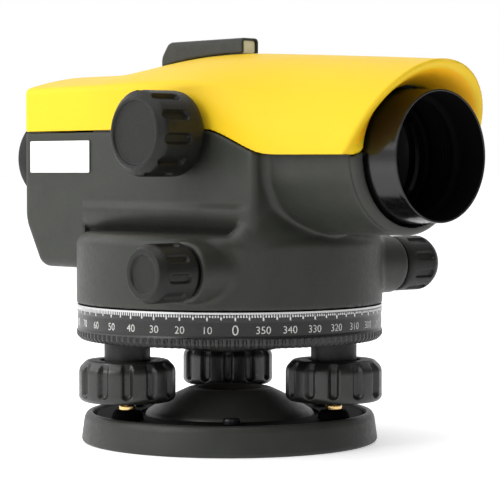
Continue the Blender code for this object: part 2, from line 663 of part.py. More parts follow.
def make_focusing():
    tube = turned("telescope_tube", [
        (11.0 * MM, -22 * MM), (12.5 * MM, -22 * MM), (12.5 * MM, 34 * MM), (18.0 * MM, 34 * MM),
        (18.0 * MM, 37 * MM), (11.0 * MM, 37 * MM)], ALUMINIUM, SIGHT_LINE, "X", 32)
    rack_z = FOCUS_Z - PINION_R - 0.7 * MM
    slot_low = rack_z - 3.1 * MM
    slot = block("cutter", (-16 * MM, -18 * MM, slot_low), (32 * MM, -8 * MM, 104 * MM), collection=CUTTERS)
    cut(tube, slot)
    cell_r = 10.7 * MM
    ring("focusing_lens_cell", 7.6 * MM, cell_r, 2 * MM, 15 * MM, ALUMINIUM, SIGHT_LINE, "X", 32)
    lens = [
        (0, 9.6 * MM), (4 * MM, 10.2 * MM), (7.3 * MM, 11.6 * MM), (7.3 * MM, 5.2 * MM), (4 * MM, 6.6 * MM),
        (0, 7.2 * MM)]
    turned("focusing_lens", lens, GLASS, SIGHT_LINE, "X")
    block("focusing_rack", (FOCUS_X - 14 * MM, -16 * MM, rack_z - 2.6 * MM),
          (FOCUS_X + 12 * MM, -11.1 * MM, rack_z), BRASS)
    at = (FOCUS_X, 0, FOCUS_Z)
    turned("focusing_shaft", [
        (0, -11.4 * MM), (PINION_R + 0.4 * MM, -11.4 * MM), (PINION_R + 0.4 * MM, -15.8 * MM),
        (1.3 * MM, -15.8 * MM), (1.3 * MM, -17.5 * MM), (3.0 * MM, -17.5 * MM), (3.0 * MM, -46 * MM),
        (0, -46 * MM)], STEEL, at, "Y", 16)
    outline = fluted_outline(FOCUS_KNOB_R, FOCUS_FLUTES, 1.0 * MM)
    knob = prism("focusing_knob", [outline], *FOCUS_KNOB_Y, RUBBER, at, "XZ")
    cut(knob, hole(3.0 * MM + GAP, -46.4 * MM, -28 * MM, at, "Y", 16))


def make_eyepiece():
    ring("eyepiece_tube", 9.3 * MM, EYE_TUBE_R, -84 * MM, -62 * MM, BLACK, SIGHT_LINE, "X", 32)
    bore = EYE_TUBE_R + GAP
    turned("diopter_ring", [
        (bore, -74.2 * MM), (15.0 * MM, -74.2 * MM), (16.0 * MM, -75.2 * MM), (16.0 * MM, -84 * MM),
        (15.4 * MM, -92.5 * MM), (14.0 * MM, -HALF_LENGTH), (11.5 * MM, -HALF_LENGTH), (8.0 * MM, -90.5 * MM),
        (8.0 * MM, -85 * MM), (bore, -85 * MM)], RUBBER, SIGHT_LINE, "X", 32)
    rod("eye_lens", 7.7 * MM, -89.5 * MM, -86 * MM, GLASS, SIGHT_LINE, "X")
    ring("reticle_ring", 6.5 * MM, 9.0 * MM, -65.5 * MM, -63 * MM, STEEL, SIGHT_LINE, "X")
    rod("reticle_glass", 6.2 * MM, -64.8 * MM, -63.6 * MM, GLASS, SIGHT_LINE, "X")


# ---- Compensator -------------------------------------------------------------------------------------
def make_compensator():
    x = PENDULUM_X
    floor = BOX_FLOOR_Z + WALL + GAP
    foot = block("compensator_frame", (x - 17 * MM, -18.5 * MM, floor),
                 (x + 17 * MM, 18.5 * MM, floor + 2.5 * MM), ALUMINIUM)
    for centre in (x - 13 * MM, x + 13 * MM):
        join(foot, block("post", (centre - 3 * MM, -6 * MM, floor + MM), (centre + 3 * MM, 6 * MM, 84.7 * MM),
                         collection=CUTTERS))
    bridge = prism("bridge", [[
        (-18.3 * MM, floor + MM), (-18.3 * MM, 112 * MM), (18.3 * MM, 112 * MM), (18.3 * MM, floor + MM),
        (16 * MM, floor + MM), (16 * MM, 109.5 * MM), (-16 * MM, 109.5 * MM), (-16 * MM, floor + MM)]],
        x - 6 * MM, x + 6 * MM, collection=CUTTERS)
    bridge.rotation_euler = (math.radians(90), 0, math.radians(90))
    join(foot, bridge)
    arms = prism("pendulum", [[
        (-14 * MM, 84 * MM), (14 * MM, 84 * MM), (14 * MM, 106 * MM), (-14 * MM, 106 * MM)], [
        (-11.5 * MM, 86 * MM), (11.5 * MM, 86 * MM), (11.5 * MM, 103.5 * MM), (-11.5 * MM, 103.5 * MM)]],
        x - 4 * MM, x + 4 * MM, ALUMINIUM)
    arms.rotation_euler = (math.radians(90), 0, math.radians(90))
    prism("pendulum_prism", [[(x - 6 * MM, 86.3 * MM), (x + 6 * MM, 86.3 * MM), (x, 97 * MM)]],
          -10 * MM, 10 * MM, GLASS, plane="XZ")
    for name, side in (("rear", -1), ("front", 1)):
        centre = x + side * 13 * MM
        prism(f"fixed_prism_{name}", [[
            (centre - 3.5 * MM, 85 * MM), (centre + 3.5 * MM, 85 * MM), (centre + 3.5 * MM, 94 * MM),
            (centre - 3.5 * MM, 99 * MM)]], -9 * MM, 9 * MM, GLASS, plane="XZ")
        ribbon_y = side * 8 * MM
        hand = "left" if side > 0 else "right"
        block(f"suspension_ribbon_{hand}", (x - 1.5 * MM, ribbon_y - 0.25 * MM, 106.3 * MM),
              (x + 1.5 * MM, ribbon_y + 0.25 * MM, 109.2 * MM), STEEL)
    rod("damper_piston", 4.0 * MM, 78.6 * MM, 83.7 * MM, ALUMINIUM, (x, 0, 0))
    turned("damper_cup", [
        (0, floor + 2.9 * MM), (6.2 * MM, floor + 2.9 * MM), (6.2 * MM, 82 * MM), (4.9 * MM, 82 * MM),
        (4.9 * MM, floor + 4.2 * MM), (0, floor + 4.2 * MM)], ALUMINIUM, (x, 0, 0))


# ---- Circular level and its viewing prism ------------------------------------------------------------
BUBBLE_SCREW_AZIMUTHS = [math.radians(degrees) for degrees in (90, 210, 330)]


def make_circular_level():
    at = (BUBBLE_X, BUBBLE_Y, 0)
    low = BUBBLE_Z
    turned("circular_level_holder", [
        (0, low), (11.4 * MM, low), (12.0 * MM, low + 0.6 * MM), (12.0 * MM, low + 8.4 * MM),
        (9.9 * MM, low + 8.4 * MM), (9.9 * MM, low + 2.2 * MM), (0, low + 2.2 * MM)], BLACK, at)
    turned("circular_level_vial", [
        (0, low + 8.2 * MM), (5 * MM, low + 8.0 * MM), (9.6 * MM, low + 7.2 * MM), (9.6 * MM, low + 2.5 * MM),
        (0, low + 2.5 * MM)], GLASS, at)
    for number, azimuth in enumerate(BUBBLE_SCREW_AZIMUTHS, 1):
        screw_at = shift(at, 8.5 * MM * math.cos(azimuth), 8.5 * MM * math.sin(azimuth))
        turned(f"circular_level_screw_{number}", [
            (0, low - GAP), (1.3 * MM, low - GAP), (1.3 * MM, low - 5.5 * MM), (2.4 * MM, low - 5.5 * MM),
            (2.4 * MM, low - 7.2 * MM), (0, low - 7.2 * MM)], STEEL, screw_at, facets=12)
    x = BUBBLE_X
    inner, outer = BOX_HALF_W + GAP, BUBBLE_Y + 9 * MM
    hood = block("viewing_prism_mount", (x - 10 * MM, inner, 93 * MM), (x + 10 * MM, outer, 108 * MM),
                 RUBBER, 1.5 * MM)
    cut(hood, block("cutter", (x - 7.5 * MM, BUBBLE_Y - 7.5 * MM, 90 * MM),
                    (x + 7.5 * MM, BUBBLE_Y + 6.5 * MM, 105.5 * MM), collection=CUTTERS))
    prism("viewing_prism", [[
        (x - 7.0 * MM, 92.5 * MM), (x + 7.0 * MM, 92.5 * MM), (x + 7.0 * MM, 105.0 * MM)]],
        BUBBLE_Y - 7.0 * MM, BUBBLE_Y + 6.0 * MM, GLASS, plane="XZ")


def make_label():
    block("blank_label", (-69.1 * MM, -BOX_HALF_W - 0.7 * MM, 87.5 * MM),
          (-37.1 * MM, -BOX_HALF_W - GAP, 98.2 * MM), WHITE)


make_base_plate()
make_spring_plate()
for index, foot_azimuth in enumerate(FOOT_AZIMUTHS, 1):
    make_footscrew(index, foot_azimuth)
make_tribrach()
make_horizontal_circle()
make_worm_wheel()
make_axis_spindle()
make_tangent_drive()
make_main_housing()
make_top_cover()
make_peep_sight()
make_objective()
make_focusing()
make_eyepiece()
make_compensator()
make_circular_level()
make_label()
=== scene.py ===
"""Looks of the automatic level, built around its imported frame.

The telescope looks along +X, and +Z is up. Shapes are worked out in millimetres, and make_piece turns
them into metres. Round parts are turned from a profile; castings are meshed from a distance function.
"""

import itertools
import math

import bmesh
import bpy
import numpy as np
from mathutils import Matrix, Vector


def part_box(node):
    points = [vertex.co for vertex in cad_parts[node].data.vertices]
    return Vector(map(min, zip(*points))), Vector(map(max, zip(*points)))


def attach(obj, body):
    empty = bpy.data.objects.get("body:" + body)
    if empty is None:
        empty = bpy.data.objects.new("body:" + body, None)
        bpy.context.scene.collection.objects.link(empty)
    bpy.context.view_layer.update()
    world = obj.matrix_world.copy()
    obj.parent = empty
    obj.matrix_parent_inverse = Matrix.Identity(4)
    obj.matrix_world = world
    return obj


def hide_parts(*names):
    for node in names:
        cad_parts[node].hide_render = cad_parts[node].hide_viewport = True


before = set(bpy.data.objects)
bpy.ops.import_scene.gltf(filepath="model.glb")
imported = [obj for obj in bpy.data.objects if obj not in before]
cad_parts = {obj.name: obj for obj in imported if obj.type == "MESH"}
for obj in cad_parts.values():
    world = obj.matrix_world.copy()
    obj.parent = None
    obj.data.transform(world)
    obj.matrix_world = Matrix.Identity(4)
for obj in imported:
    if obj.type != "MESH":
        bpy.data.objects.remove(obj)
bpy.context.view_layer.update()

MM = 0.001


def box_mm(node):
    """Lowest and highest corner of a frame node, in millimetres."""
    low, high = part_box(node)
    return low / MM, high / MM


# ---- Driving dimensions, in millimetres, from the frame where a node gives them ----
CIRCLE_LOW, CIRCLE_HIGH = box_mm("horizontal_circle")
HOUSING_LOW, HOUSING_HIGH = box_mm("main_housing")
SLEEVE_LOW, SLEEVE_HIGH = box_mm("objective_sleeve")

# Housing: a drum over the circle, a box with a tail on the drum, and the telescope's barrel in front.
WALL = 2.6
DRUM_R = CIRCLE_HIGH.x
DRUM_Z = (HOUSING_LOW.z, 68.3)
BOX_X = (HOUSING_LOW.x, 41.8)
BOX_Y = 28.6
TAIL_Z = 55.7
AXIS_Z = (SLEEVE_LOW.z + SLEEVE_HIGH.z) / 2
BARREL_R = 23.9
BARREL_BORE_R = 21.0
BARREL_FRONT = HOUSING_HIGH.x
BAND_FRONT = BARREL_FRONT + 2.9
EYE_BORE_R = 12.0
SHAFT_BORE_R = 3.4

# Recess along both sides, between the box and the drum: its rear end, its roof's radius and its floor.
UNDERCUT_X = -40.5
UNDERCUT_R = 9.5
UNDERCUT_Z = 66.5

# Cover: its joint with the housing drops from SPLIT_Z to the line of sight between the two SPLIT_X.
SPLIT_Z = 101.0
SPLIT_X = (22.0, 43.5)
COVER_WALL = 2.2
SHADE_R = 21.3
HOOD_R = 28.5
HOOD_TIP = 95.0

# Axes of the focusing knob and of the tangent shaft, middle of the circular level, and the footscrews.
FOCUS_X, FOCUS_Z = 9.5, 99.8
WORM_X, WORM_Z = 28.7, 57.3
BUBBLE_X, BUBBLE_Y = -14.0, 42.0
BUBBLE_Z = box_mm("circular_level_holder")[0].z
FOOT_CIRCLE_R = 38.1
FOOT_AZIMUTHS = [math.radians(18.45 + 120.0 * step) for step in (-1, 0, 1)]
FOOT_PLACES = [(FOOT_CIRCLE_R * math.cos(turn), FOOT_CIRCLE_R * math.sin(turn)) for turn in FOOT_AZIMUTHS]

# The camera's place in metres: each footscrew knob is turned so that one of its flutes faces it.
CAMERA_PLACE = (0.5121, -0.4694, 0.0884)


# ---- Meshes --------------------------------------------------------------------------------------
def make_piece(name, points, faces, sharp=None):
    """Object from points in millimetres, smooth shaded, with edges sharper than an angle kept sharp."""
    mesh = bpy.data.meshes.new(name)
    places = np.asarray(points, float) * MM
    mesh.from_pydata(places.tolist(), [], [list(map(int, face)) for face in faces])
    shape = bmesh.new()
    shape.from_mesh(mesh)
    bmesh.ops.remove_doubles(shape, verts=shape.verts, dist=1e-7)
    bmesh.ops.recalc_face_normals(shape, faces=shape.faces)
    shape.to_mesh(mesh)
    shape.free()
    mesh.shade_smooth()
    if sharp:
        mesh.set_sharp_from_angle(angle=math.radians(sharp))
    piece = bpy.data.objects.new(name, mesh)
    bpy.context.scene.collection.objects.link(piece)
    return piece


# Directions for a turned part's axis: angle 0, angle 90 degrees, and height.
AXES = {
    "Z": ((1, 0, 0), (0, 1, 0), (0, 0, 1)),
    "X": ((0, 1, 0), (0, 0, 1), (1, 0, 0)),
    "-X": ((0, 0, 1), (0, 1, 0), (-1, 0, 0)),
    "Y": ((0, 0, 1), (1, 0, 0), (0, 1, 0)),
    "-Y": ((1, 0, 0), (0, 0, 1), (0, -1, 0)),
}


def softened(profile, steps=4):
    """Profile with rounded corners. A point is (radius, height) or (radius, height, corner radius)."""
    points = [Vector(point[:2]) for point in profile]
    corners = [point[2] if len(point) > 2 else 0.0 for point in profile]
    count = len(points)
    closed = all(point.x > 0 for point in points)
    out = []
    for i, (point, corner) in enumerate(zip(points, corners)):
        end = not closed and i in (0, count - 1)
        if end or corner == 0:
            out.append(point)
            continue
        before = points[i - 1] - point
        after = points[(i + 1) % count] - point
        reach = min(corner, 0.49 * before.length, 0.49 * after.length)
        start, stop = point + before.normalized() * reach, point + after.normalized() * reach
        for step in range(steps + 1):
            t = step / steps
            out.append(start * (1 - t) ** 2 + point * 2 * t * (1 - t) + stop * t ** 2)
    return [(point.x, point.y) for point in out]


def dense(profile, spacing):
    """Profile with no stretch longer than the spacing."""
    open_ended = profile[0][0] == 0 or profile[-1][0] == 0
    out = []
    for start, stop in zip(profile, profile[1:] + profile[:1]):
        out.append(start)
        if stop is profile[0] and open_ended:
            break
        pieces = max(1, math.ceil(math.dist(start, stop) / spacing))
        for k in range(1, pieces):
            out.append(tuple(a + (b - a) * k / pieces for a, b in zip(start, stop)))
    return out


def turned_shell(profile, at=(0, 0, 0), axis="Z", segments=128, dent=None):
    """Points and faces of a turned shape. dent(angle, radius, height) is taken off the radius."""
    profile = np.array(profile)
    angle = np.arange(segments) * math.tau / segments
    u, v, w = (np.array(direction, float) for direction in AXES[axis])
    points, rows = [], []
    for radius, height in profile:
        start = len(points)
        if radius == 0:
            points.append(np.array(at) + height * w)
            rows.append([start] * segments)
            continue
        reach = radius - (dent(angle, radius, height) if dent else 0.0) * np.ones(segments)
        across = np.outer(reach * np.cos(angle), u) + np.outer(reach * np.sin(angle), v)
        points.extend(np.array(at) + across + height * w)
        rows.append(list(range(start, start + segments)))
    if (profile[:, 0] > 0).all():
        rows.append(rows[0])
    faces = []
    for row, following in zip(rows, rows[1:]):
        for k in range(segments):
            n = (k + 1) % segments
            corners = (row[k], row[n], following[n], following[k])
            faces.append(tuple(dict.fromkeys(corners)))
    return np.array(points), faces


def turned(name, profile, at=(0, 0, 0), axis="Z", segments=128, dent=None, sharp=40):
    return make_piece(name, *turned_shell(profile, at, axis, segments, dent), sharp=sharp)


def joined(shells):
    """Several (points, faces) shells as one."""
    points, faces, start = [], [], 0
    for shell_points, shell_faces in shells:
        points.append(np.asarray(shell_points, float))
        faces += [tuple(start + corner for corner in face) for face in shell_faces]
        start += len(shell_points)
    return np.concatenate(points), faces


def flutes(radius, count, width, low, high, depth, phase=0.0, edge=0.55):
    """Dents shaped like long slots with round ends, evenly spaced round a knob.

    They run out where a chamfer makes the knob's radius smaller.
    """
    middle, half = (low + high) / 2, (high - low) / 2

    def dent(angle, at_radius, height):
        turn = ((angle - phase) * count / math.tau + 0.5) % 1.0 - 0.5
        across = turn * math.tau * radius / count
        beyond = max(abs(height - middle) - (half - width / 2), 0.0)
        inside = width / 2 - np.hypot(across, beyond)
        full = np.clip((at_radius / radius - 0.86) / 0.12, 0, 1)
        return depth * ease(inside / edge) * full

    return dent


# ---- Shapes given as a distance from their surface, in millimetres -------------------------------
def round_max(a, b, r):
    """Both shapes at once, with the edge between them rounded."""
    return np.minimum(-r, np.maximum(a, b)) + np.hypot(np.maximum(r + a, 0), np.maximum(r + b, 0))


def round_min(a, b, r):
    """Either shape, with a fillet in the corner between them."""
    return np.maximum(r, np.minimum(a, b)) - np.hypot(np.maximum(r - a, 0), np.maximum(r - b, 0))


def between(value, low, high):
    """Slab between two planes."""
    return np.maximum(low - value, value - high)


def ease(value):
    """0 below 0, 1 above 1, and a smooth rise between."""
    share = np.clip(value, 0, 1)
    return share * share * (3 - 2 * share)


def draw_on(distance, points, step, rounds):
    """Move points on to the surface, along the slope of its distance."""
    reach = 0.02
    for _ in range(rounds):
        value = distance(*points.T)
        slope = np.empty_like(points)
        for axis in range(3):
            shift = np.zeros(3)
            shift[axis] = reach
            slope[:, axis] = (distance(*(points + shift).T) - distance(*(points - shift).T)) / (2 * reach)
        move = -value[:, None] * slope / np.maximum((slope ** 2).sum(1), 0.05)[:, None]
        length = np.linalg.norm(move, axis=1)[:, None]
        points = points + move * np.minimum(1, 0.6 * step / np.maximum(length, 1e-9))
    return points


def relaxed(points, faces):
    """Every point moved half way to the middle of its neighbours."""
    total, count = np.zeros_like(points), np.zeros(len(points))
    for a, b in ((0, 1), (1, 2), (2, 3), (3, 0)):
        for here, there in ((a, b), (b, a)):
            np.add.at(total, faces[:, here], points[faces[:, there]])
            np.add.at(count, faces[:, here], 1)
    return (points + total / np.maximum(count, 1)[:, None]) / 2


def net(distance, low, high, step):
    """Quads over the surface of a distance function, one point to each grid cell that it crosses."""
    axes = [np.arange(a, b + step, step) for a, b in zip(low, high)]
    field = distance(*np.meshgrid(*axes, indexing="ij"))
    cells = tuple(n - 1 for n in field.shape)
    total, count = np.zeros((*cells, 3)), np.zeros(cells)

    def corner(offset):
        return field[tuple(slice(o, o + n) for o, n in zip(offset, cells))]

    for start in itertools.product((0, 1), repeat=3):
        for axis in [i for i in range(3) if not start[i]]:
            stop = tuple(1 if i == axis else start[i] for i in range(3))
            a, b = corner(start), corner(stop)
            crossing = (a < 0) != (b < 0)
            share = np.where(crossing, a / np.where(crossing, a - b, 1), 0)
            for i in range(3):
                total[..., i] += crossing * (start[i] + (share if i == axis else 0))
            count += crossing
    found = count > 0
    index = np.full(cells, -1)
    index[found] = np.arange(found.sum())
    points = np.array(low) + step * (np.argwhere(found) + total[found] / count[found][:, None])
    inside, faces = field < 0, []
    for axis in range(3):
        u, v = (axis + 1) % 3, (axis + 2) % 3
        a = inside[tuple(slice(0, -1) if i == axis else slice(1, -1) for i in range(3))]
        b = inside[tuple(slice(1, None) if i == axis else slice(1, -1) for i in range(3))]
        for mask, turned_over in ((a & ~b, False), (~a & b, True)):
            base = np.argwhere(mask)
            quad = []
            for du, dv in ((0, 0), (1, 0), (1, 1), (0, 1)):
                cell = base.copy()
                cell[:, u] += du
                cell[:, v] += dv
                quad.append(index[tuple(cell.T)])
            faces.append(np.stack(quad[::-1] if turned_over else quad, 1))
    faces = np.concatenate(faces)
    points = draw_on(distance, points, step, 3)
    for _ in range(2):
        points = draw_on(distance, relaxed(points, faces), step, 2)
    return points, faces


def cast(name, distance, low, high, step, sharp=None):
    return make_piece(name, *net(distance, low, high, step), sharp=sharp)


# ---- Materials -----------------------------------------------------------------------------------
def new_material(name, colour, roughness, metallic=0.0):
    material = bpy.data.materials.new(name)
    material.use_nodes = True
    shader = material.node_tree.nodes["Principled BSDF"]
    shader.inputs["Base Color"].default_value = (*colour, 1)
    shader.inputs["Roughness"].default_value = roughness
    shader.inputs["Metallic"].default_value = metallic
    return material, shader


def noise(material, grain, detail=2.0, stretch=(1, 1, 1)):
    """Noise with features about as large as the grain, in millimetres."""
    nodes, links = material.node_tree.nodes, material.node_tree.links
    place = nodes.new("ShaderNodeTexCoord")
    mapping = nodes.new("ShaderNodeMapping")
    mapping.inputs["Scale"].default_value = stretch
    texture = nodes.new("ShaderNodeTexNoise")
    texture.inputs["Scale"].default_value = 1 / (grain * MM)
    texture.inputs["Detail"].default_value = detail
    links.new(place.outputs["Object"], mapping.inputs["Vector"])
    links.new(mapping.outputs["Vector"], texture.inputs["Vector"])
    return texture


def vary_colour(material, shader, colour, spread, grain):
    """Colour that drifts a little, lighter and darker, over the surface."""
    texture = noise(material, grain, 4.0)
    ramp = material.node_tree.nodes.new("ShaderNodeValToRGB")
    ramp.color_ramp.elements[0].position = 0.3
    ramp.color_ramp.elements[1].position = 0.7
    ramp.color_ramp.elements[0].color = (*[c * (1 - spread) for c in colour], 1)
    ramp.color_ramp.elements[1].color = (*[min(1.0, c * (1 + spread)) for c in colour], 1)
    material.node_tree.links.new(texture.outputs["Fac"], ramp.inputs["Fac"])
    material.node_tree.links.new(ramp.outputs["Color"], shader.inputs["Base Color"])


def vary_gloss(material, shader, low, high, grain):
    texture = noise(material, grain, 3.0)
    span = material.node_tree.nodes.new("ShaderNodeMapRange")
    span.inputs["From Min"].default_value = 0.3
    span.inputs["From Max"].default_value = 0.7
    span.inputs["To Min"].default_value = low
    span.inputs["To Max"].default_value = high
    material.node_tree.links.new(texture.outputs["Fac"], span.inputs["Value"])
    material.node_tree.links.new(span.outputs["Result"], shader.inputs["Roughness"])


def roughen(material, shader, grain, depth, stretch=(1, 1, 1), detail=2.0):
    """Bumps about as large as the grain and as deep as the depth, both in millimetres."""
    texture = noise(material, grain, detail, stretch)
    bump = material.node_tree.nodes.new("ShaderNodeBump")
    bump.inputs["Distance"].default_value = depth * MM
    material.node_tree.links.new(texture.outputs["Fac"], bump.inputs["Height"])
    material.node_tree.links.new(bump.outputs["Normal"], shader.inputs["Normal"])


def textured_paint(name, colour):
    """Baked powder paint on a casting: a fine even grain and a satin sheen."""
    material, shader = new_material(name, colour, 0.5)
    shader.inputs["Specular IOR Level"].default_value = 0.36
    vary_colour(material, shader, colour, 0.10, 9.0)
    vary_gloss(material, shader, 0.40, 0.52, 1.6)
    roughen(material, shader, 0.7, 0.05)
    return material


def moulded_plastic(name, colour):
    """Bright moulded plastic with a satin skin and a slow drift of tone."""
    material, shader = new_material(name, colour, 0.42)
    shader.inputs["Specular IOR Level"].default_value = 0.2
    vary_colour(material, shader, colour, 0.02, 30.0)
    vary_gloss(material, shader, 0.38, 0.48, 2.5)
    roughen(material, shader, 1.2, 0.018)
    shader.inputs["Subsurface Weight"].default_value = 0.04
    shader.inputs["Subsurface Scale"].default_value = 1.5 * MM
    return material


def grip_rubber(name, colour, roughness=0.55, shine=0.34):
    """Matt rubber with a fine pitted skin."""
    material, shader = new_material(name, colour, roughness)
    shader.inputs["Specular IOR Level"].default_value = shine
    vary_colour(material, shader, colour, 0.18, 3.0)
    vary_gloss(material, shader, roughness - 0.09, roughness + 0.07, 0.9)
    roughen(material, shader, 0.35, 0.03)
    return material


def anodised(name, colour, roughness=0.18):
    """Black anodised aluminium, turned on a lathe and glossy."""
    material, shader = new_material(name, colour, roughness)
    shader.inputs["Specular IOR Level"].default_value = 0.45
    vary_gloss(material, shader, roughness - 0.05, roughness + 0.07, 1.5)
    roughen(material, shader, 0.5, 0.003)
    return material


def bare_metal(name, colour, roughness=0.25, stretch=(1, 1, 12)):
    """Bare metal with fine turning marks."""
    material, shader = new_material(name, colour, roughness, 1.0)
    vary_gloss(material, shader, roughness - 0.07, roughness + 0.09, 1.2)
    roughen(material, shader, 0.5, 0.006, stretch)
    return material


def clear_glass(name, colour, roughness=0.02):
    material, shader = new_material(name, colour, roughness)
    shader.inputs["Transmission Weight"].default_value = 1.0
    shader.inputs["IOR"].default_value = 1.52
    vary_gloss(material, shader, roughness, roughness + 0.02, 4.0)
    return material


def printed(name, colour, roughness=0.45):
    """Ink or label stock: nearly even, with a fine tooth."""
    material, shader = new_material(name, colour, roughness)
    vary_colour(material, shader, colour, 0.03, 2.0)
    roughen(material, shader, 0.3, 0.01)
    return material


HOUSING_PAINT = textured_paint("housing_paint", (0.025, 0.0275, 0.022))
BASE_PAINT = textured_paint("base_paint", (0.025, 0.0275, 0.0225))
TRIBRACH_PAINT = textured_paint("tribrach_paint", (0.010, 0.010, 0.009))
# Lighter copy of the base paint for the plate's recess and dome: painted light, a tone set for how light
# falls there.
RECESS_PAINTED_LIGHT = textured_paint("recess_painted_light", (0.040, 0.042, 0.036))
YELLOW = moulded_plastic("yellow_plastic", (0.82, 0.545, 0.016))
# Oranger copy of the yellow for the funnel inside the hood: painted shade, tinted like light bounced
# between yellow walls.
YELLOW_PAINTED_SHADE = moulded_plastic("yellow_plastic_painted_shade", (1.0, 0.5, 0.010))
RUBBER = grip_rubber("knob_rubber", (0.0075, 0.008, 0.0065), 0.5, 0.3)
FOOT_PLASTIC = grip_rubber("footscrew_plastic", (0.012, 0.0125, 0.0105), 0.36, 0.6)
SIGHT_PLASTIC = grip_rubber("sight_plastic", (0.030, 0.032, 0.028), 0.45)
CUP_RUBBER = grip_rubber("eyecup_rubber", (0.010, 0.010, 0.010), 0.65)
SLEEVE_BLACK = anodised("sleeve_black", (0.003, 0.003, 0.003), 0.14)
# Flat black: the real finish inside the sunshade and on small dark parts, and painted shade on the ring
# in each tangent knob's gap.
FLAT_BLACK_AND_SHADE = grip_rubber("flat_black_and_painted_shade", (0.0012, 0.0012, 0.0012), 0.8, 0.08)
CIRCLE_BLACK = anodised("circle_black", (0.009, 0.009, 0.0085), 0.3)
KNURL_BLACK = anodised("knurl_black", (0.016, 0.016, 0.015), 0.3)
SCALE_SILVER = bare_metal("scale_silver", (0.62, 0.63, 0.62), 0.38)
SCALE_WHITE = printed("scale_white", (0.52, 0.53, 0.50))
BRASS = bare_metal("turned_brass", (0.78, 0.55, 0.24), 0.2)
STEEL = bare_metal("bright_steel", (0.56, 0.57, 0.58), 0.25)
DARK_STEEL = bare_metal("blackened_steel", (0.03, 0.03, 0.032), 0.4)
ALUMINIUM = bare_metal("machined_aluminium", (0.62, 0.63, 0.64), 0.35)
GLASS = clear_glass("optical_glass", (0.93, 0.97, 0.95))
LABEL = printed("label_stock", (0.86, 0.86, 0.84), 0.5)
FROSTED = printed("frosted_window", (0.84, 0.88, 0.76), 0.35)
SPIRIT = clear_glass("level_spirit", (0.72, 0.86, 0.22))
MARK_BLACK = printed("mark_black", (0.01, 0.01, 0.01))


def fit(piece, body, slot, material, *nodes):
    """Give a piece its material and body, and hide the frame nodes that it stands for. The slot is not
    used.
    """
    piece.data.materials.clear()
    piece.data.materials.append(material)
    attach(piece, body)
    if nodes:
        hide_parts(*nodes)
    return piece


def second_material(piece, material, chosen):
    """Another finish on the faces whose middle, in millimetres, is chosen."""
    piece.data.materials.append(material)
    middles = np.array([face.center for face in piece.data.polygons]) / MM
    piece.data.polygons.foreach_set("material_index", chosen(*middles.T).astype(int))


def repaint(material, *nodes):
    """A better material on frame nodes whose shape is right."""
    for node in nodes:
        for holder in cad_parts[node].material_slots:
            holder.material = material


# ---- Housing -------------------------------------------------------------------------------------
def joint_line(x):
    """Height of the joint between housing and cover: two rounded bends, and a small step at the front."""
    bend = 4.0
    slope = (AXIS_Z - SPLIT_Z) / (SPLIT_X[1] - SPLIT_X[0])
    first, second = x - SPLIT_X[0], x - SPLIT_X[1]
    run = (first + np.hypot(first, bend) - second - np.hypot(second, bend)) / 2
    step = 1.1 * ease((x - 79.0) / 2.2)
    return SPLIT_Z + slope * run + step


def from_sight_line(y, z):
    return np.hypot(y, z - AXIS_Z)


def eye_bore(x, y, z):
    """Bore through the rear walls for the eyepiece."""
    return np.maximum(from_sight_line(y, z) - EYE_BORE_R, x + 66.0)


def focus_bore(x, y, z):
    """Bore through the right walls for the focusing shaft."""
    return np.maximum(np.hypot(x - FOCUS_X, z - FOCUS_Z) - SHAFT_BORE_R, y + 24.0)


def tail_outline(x, z):
    """Rear face, sloping corner and underside of the tail, seen from the side."""
    slope_x, slope_z = -0.869, -0.495
    corner = (x + 73.3) * slope_x + (z - 70.6) * slope_z
    outline = round_max(BOX_X[0] - x, corner, 2.5)
    return round_max(outline, TAIL_Z - z, 3.0)


def housing_cavity(x, y, z):
    """Room inside the housing and the bores through its walls."""
    inner_y = np.abs(y) - (BOX_Y - WALL)
    upper = np.maximum(inner_y, np.maximum(between(x, BOX_X[0] + WALL, BOX_X[1] - 3.0), 76.5 - z))
    tail = np.maximum(inner_y, np.maximum(x + 50.2, tail_outline(x, z) + WALL))
    trough = np.maximum(np.abs(y) - 18.8, np.maximum(between(x, -52.0, 38.0), 71.6 - z))
    drum = np.maximum(np.hypot(x, y) - (DRUM_R - 3.0), z - 65.2)
    room = np.minimum(np.minimum(upper, tail), np.minimum(trough, drum))
    barrel_bore = np.maximum(from_sight_line(y, z) - BARREL_BORE_R, 35.0 - x)
    worm_bore = np.hypot(x - WORM_X, z - WORM_Z) - SHAFT_BORE_R
    for bore in (barrel_bore, eye_bore(x, y, z), focus_bore(x, y, z), worm_bore):
        room = np.minimum(room, bore)
    return room


def level_shelf(x, y, z):
    """Round shelf on the left wall under the circular level, with a hole for each adjusting screw."""
    radius = 12.5
    arm = np.maximum(np.abs(x - BUBBLE_X) - radius, between(y, 24.0, BUBBLE_Y))
    plate = np.minimum(arm, np.hypot(x - BUBBLE_X, y - BUBBLE_Y) - radius)
    shelf = round_max(plate, between(z, BUBBLE_Z - 5.2, BUBBLE_Z - 2.2), 0.7)
    for azimuth in map(math.radians, (90, 210, 330)):
        hole_x, hole_y = BUBBLE_X + 8.5 * math.cos(azimuth), BUBBLE_Y + 8.5 * math.sin(azimuth)
        shelf = np.maximum(shelf, 1.6 - np.hypot(x - hole_x, y - hole_y))
    return shelf


def box_and_tail(x, y, z):
    """Box with its tail. Its sides swell a little and then curve in under it, which makes the recess."""
    swell = 1.2 * ease((78.8 - z) / 3.4) * (x > UNDERCUT_X) * ease((BOX_X[1] - x) / 7.0)
    side = np.abs(y) - BOX_Y - swell
    box = round_max(side, tail_outline(x, z), 2.6)
    box = round_max(box, x - BOX_X[1], 2.4)
    undercut = round_max(side, UNDERCUT_Z - z, UNDERCUT_R)
    front_end = round_max(x - BOX_X[1] + 3.0, DRUM_Z[1] - 1.0 - z, 9.5)
    recess = np.minimum(round_min(undercut, -front_end, 2.0), x - UNDERCUT_X)
    return np.maximum(box, recess)


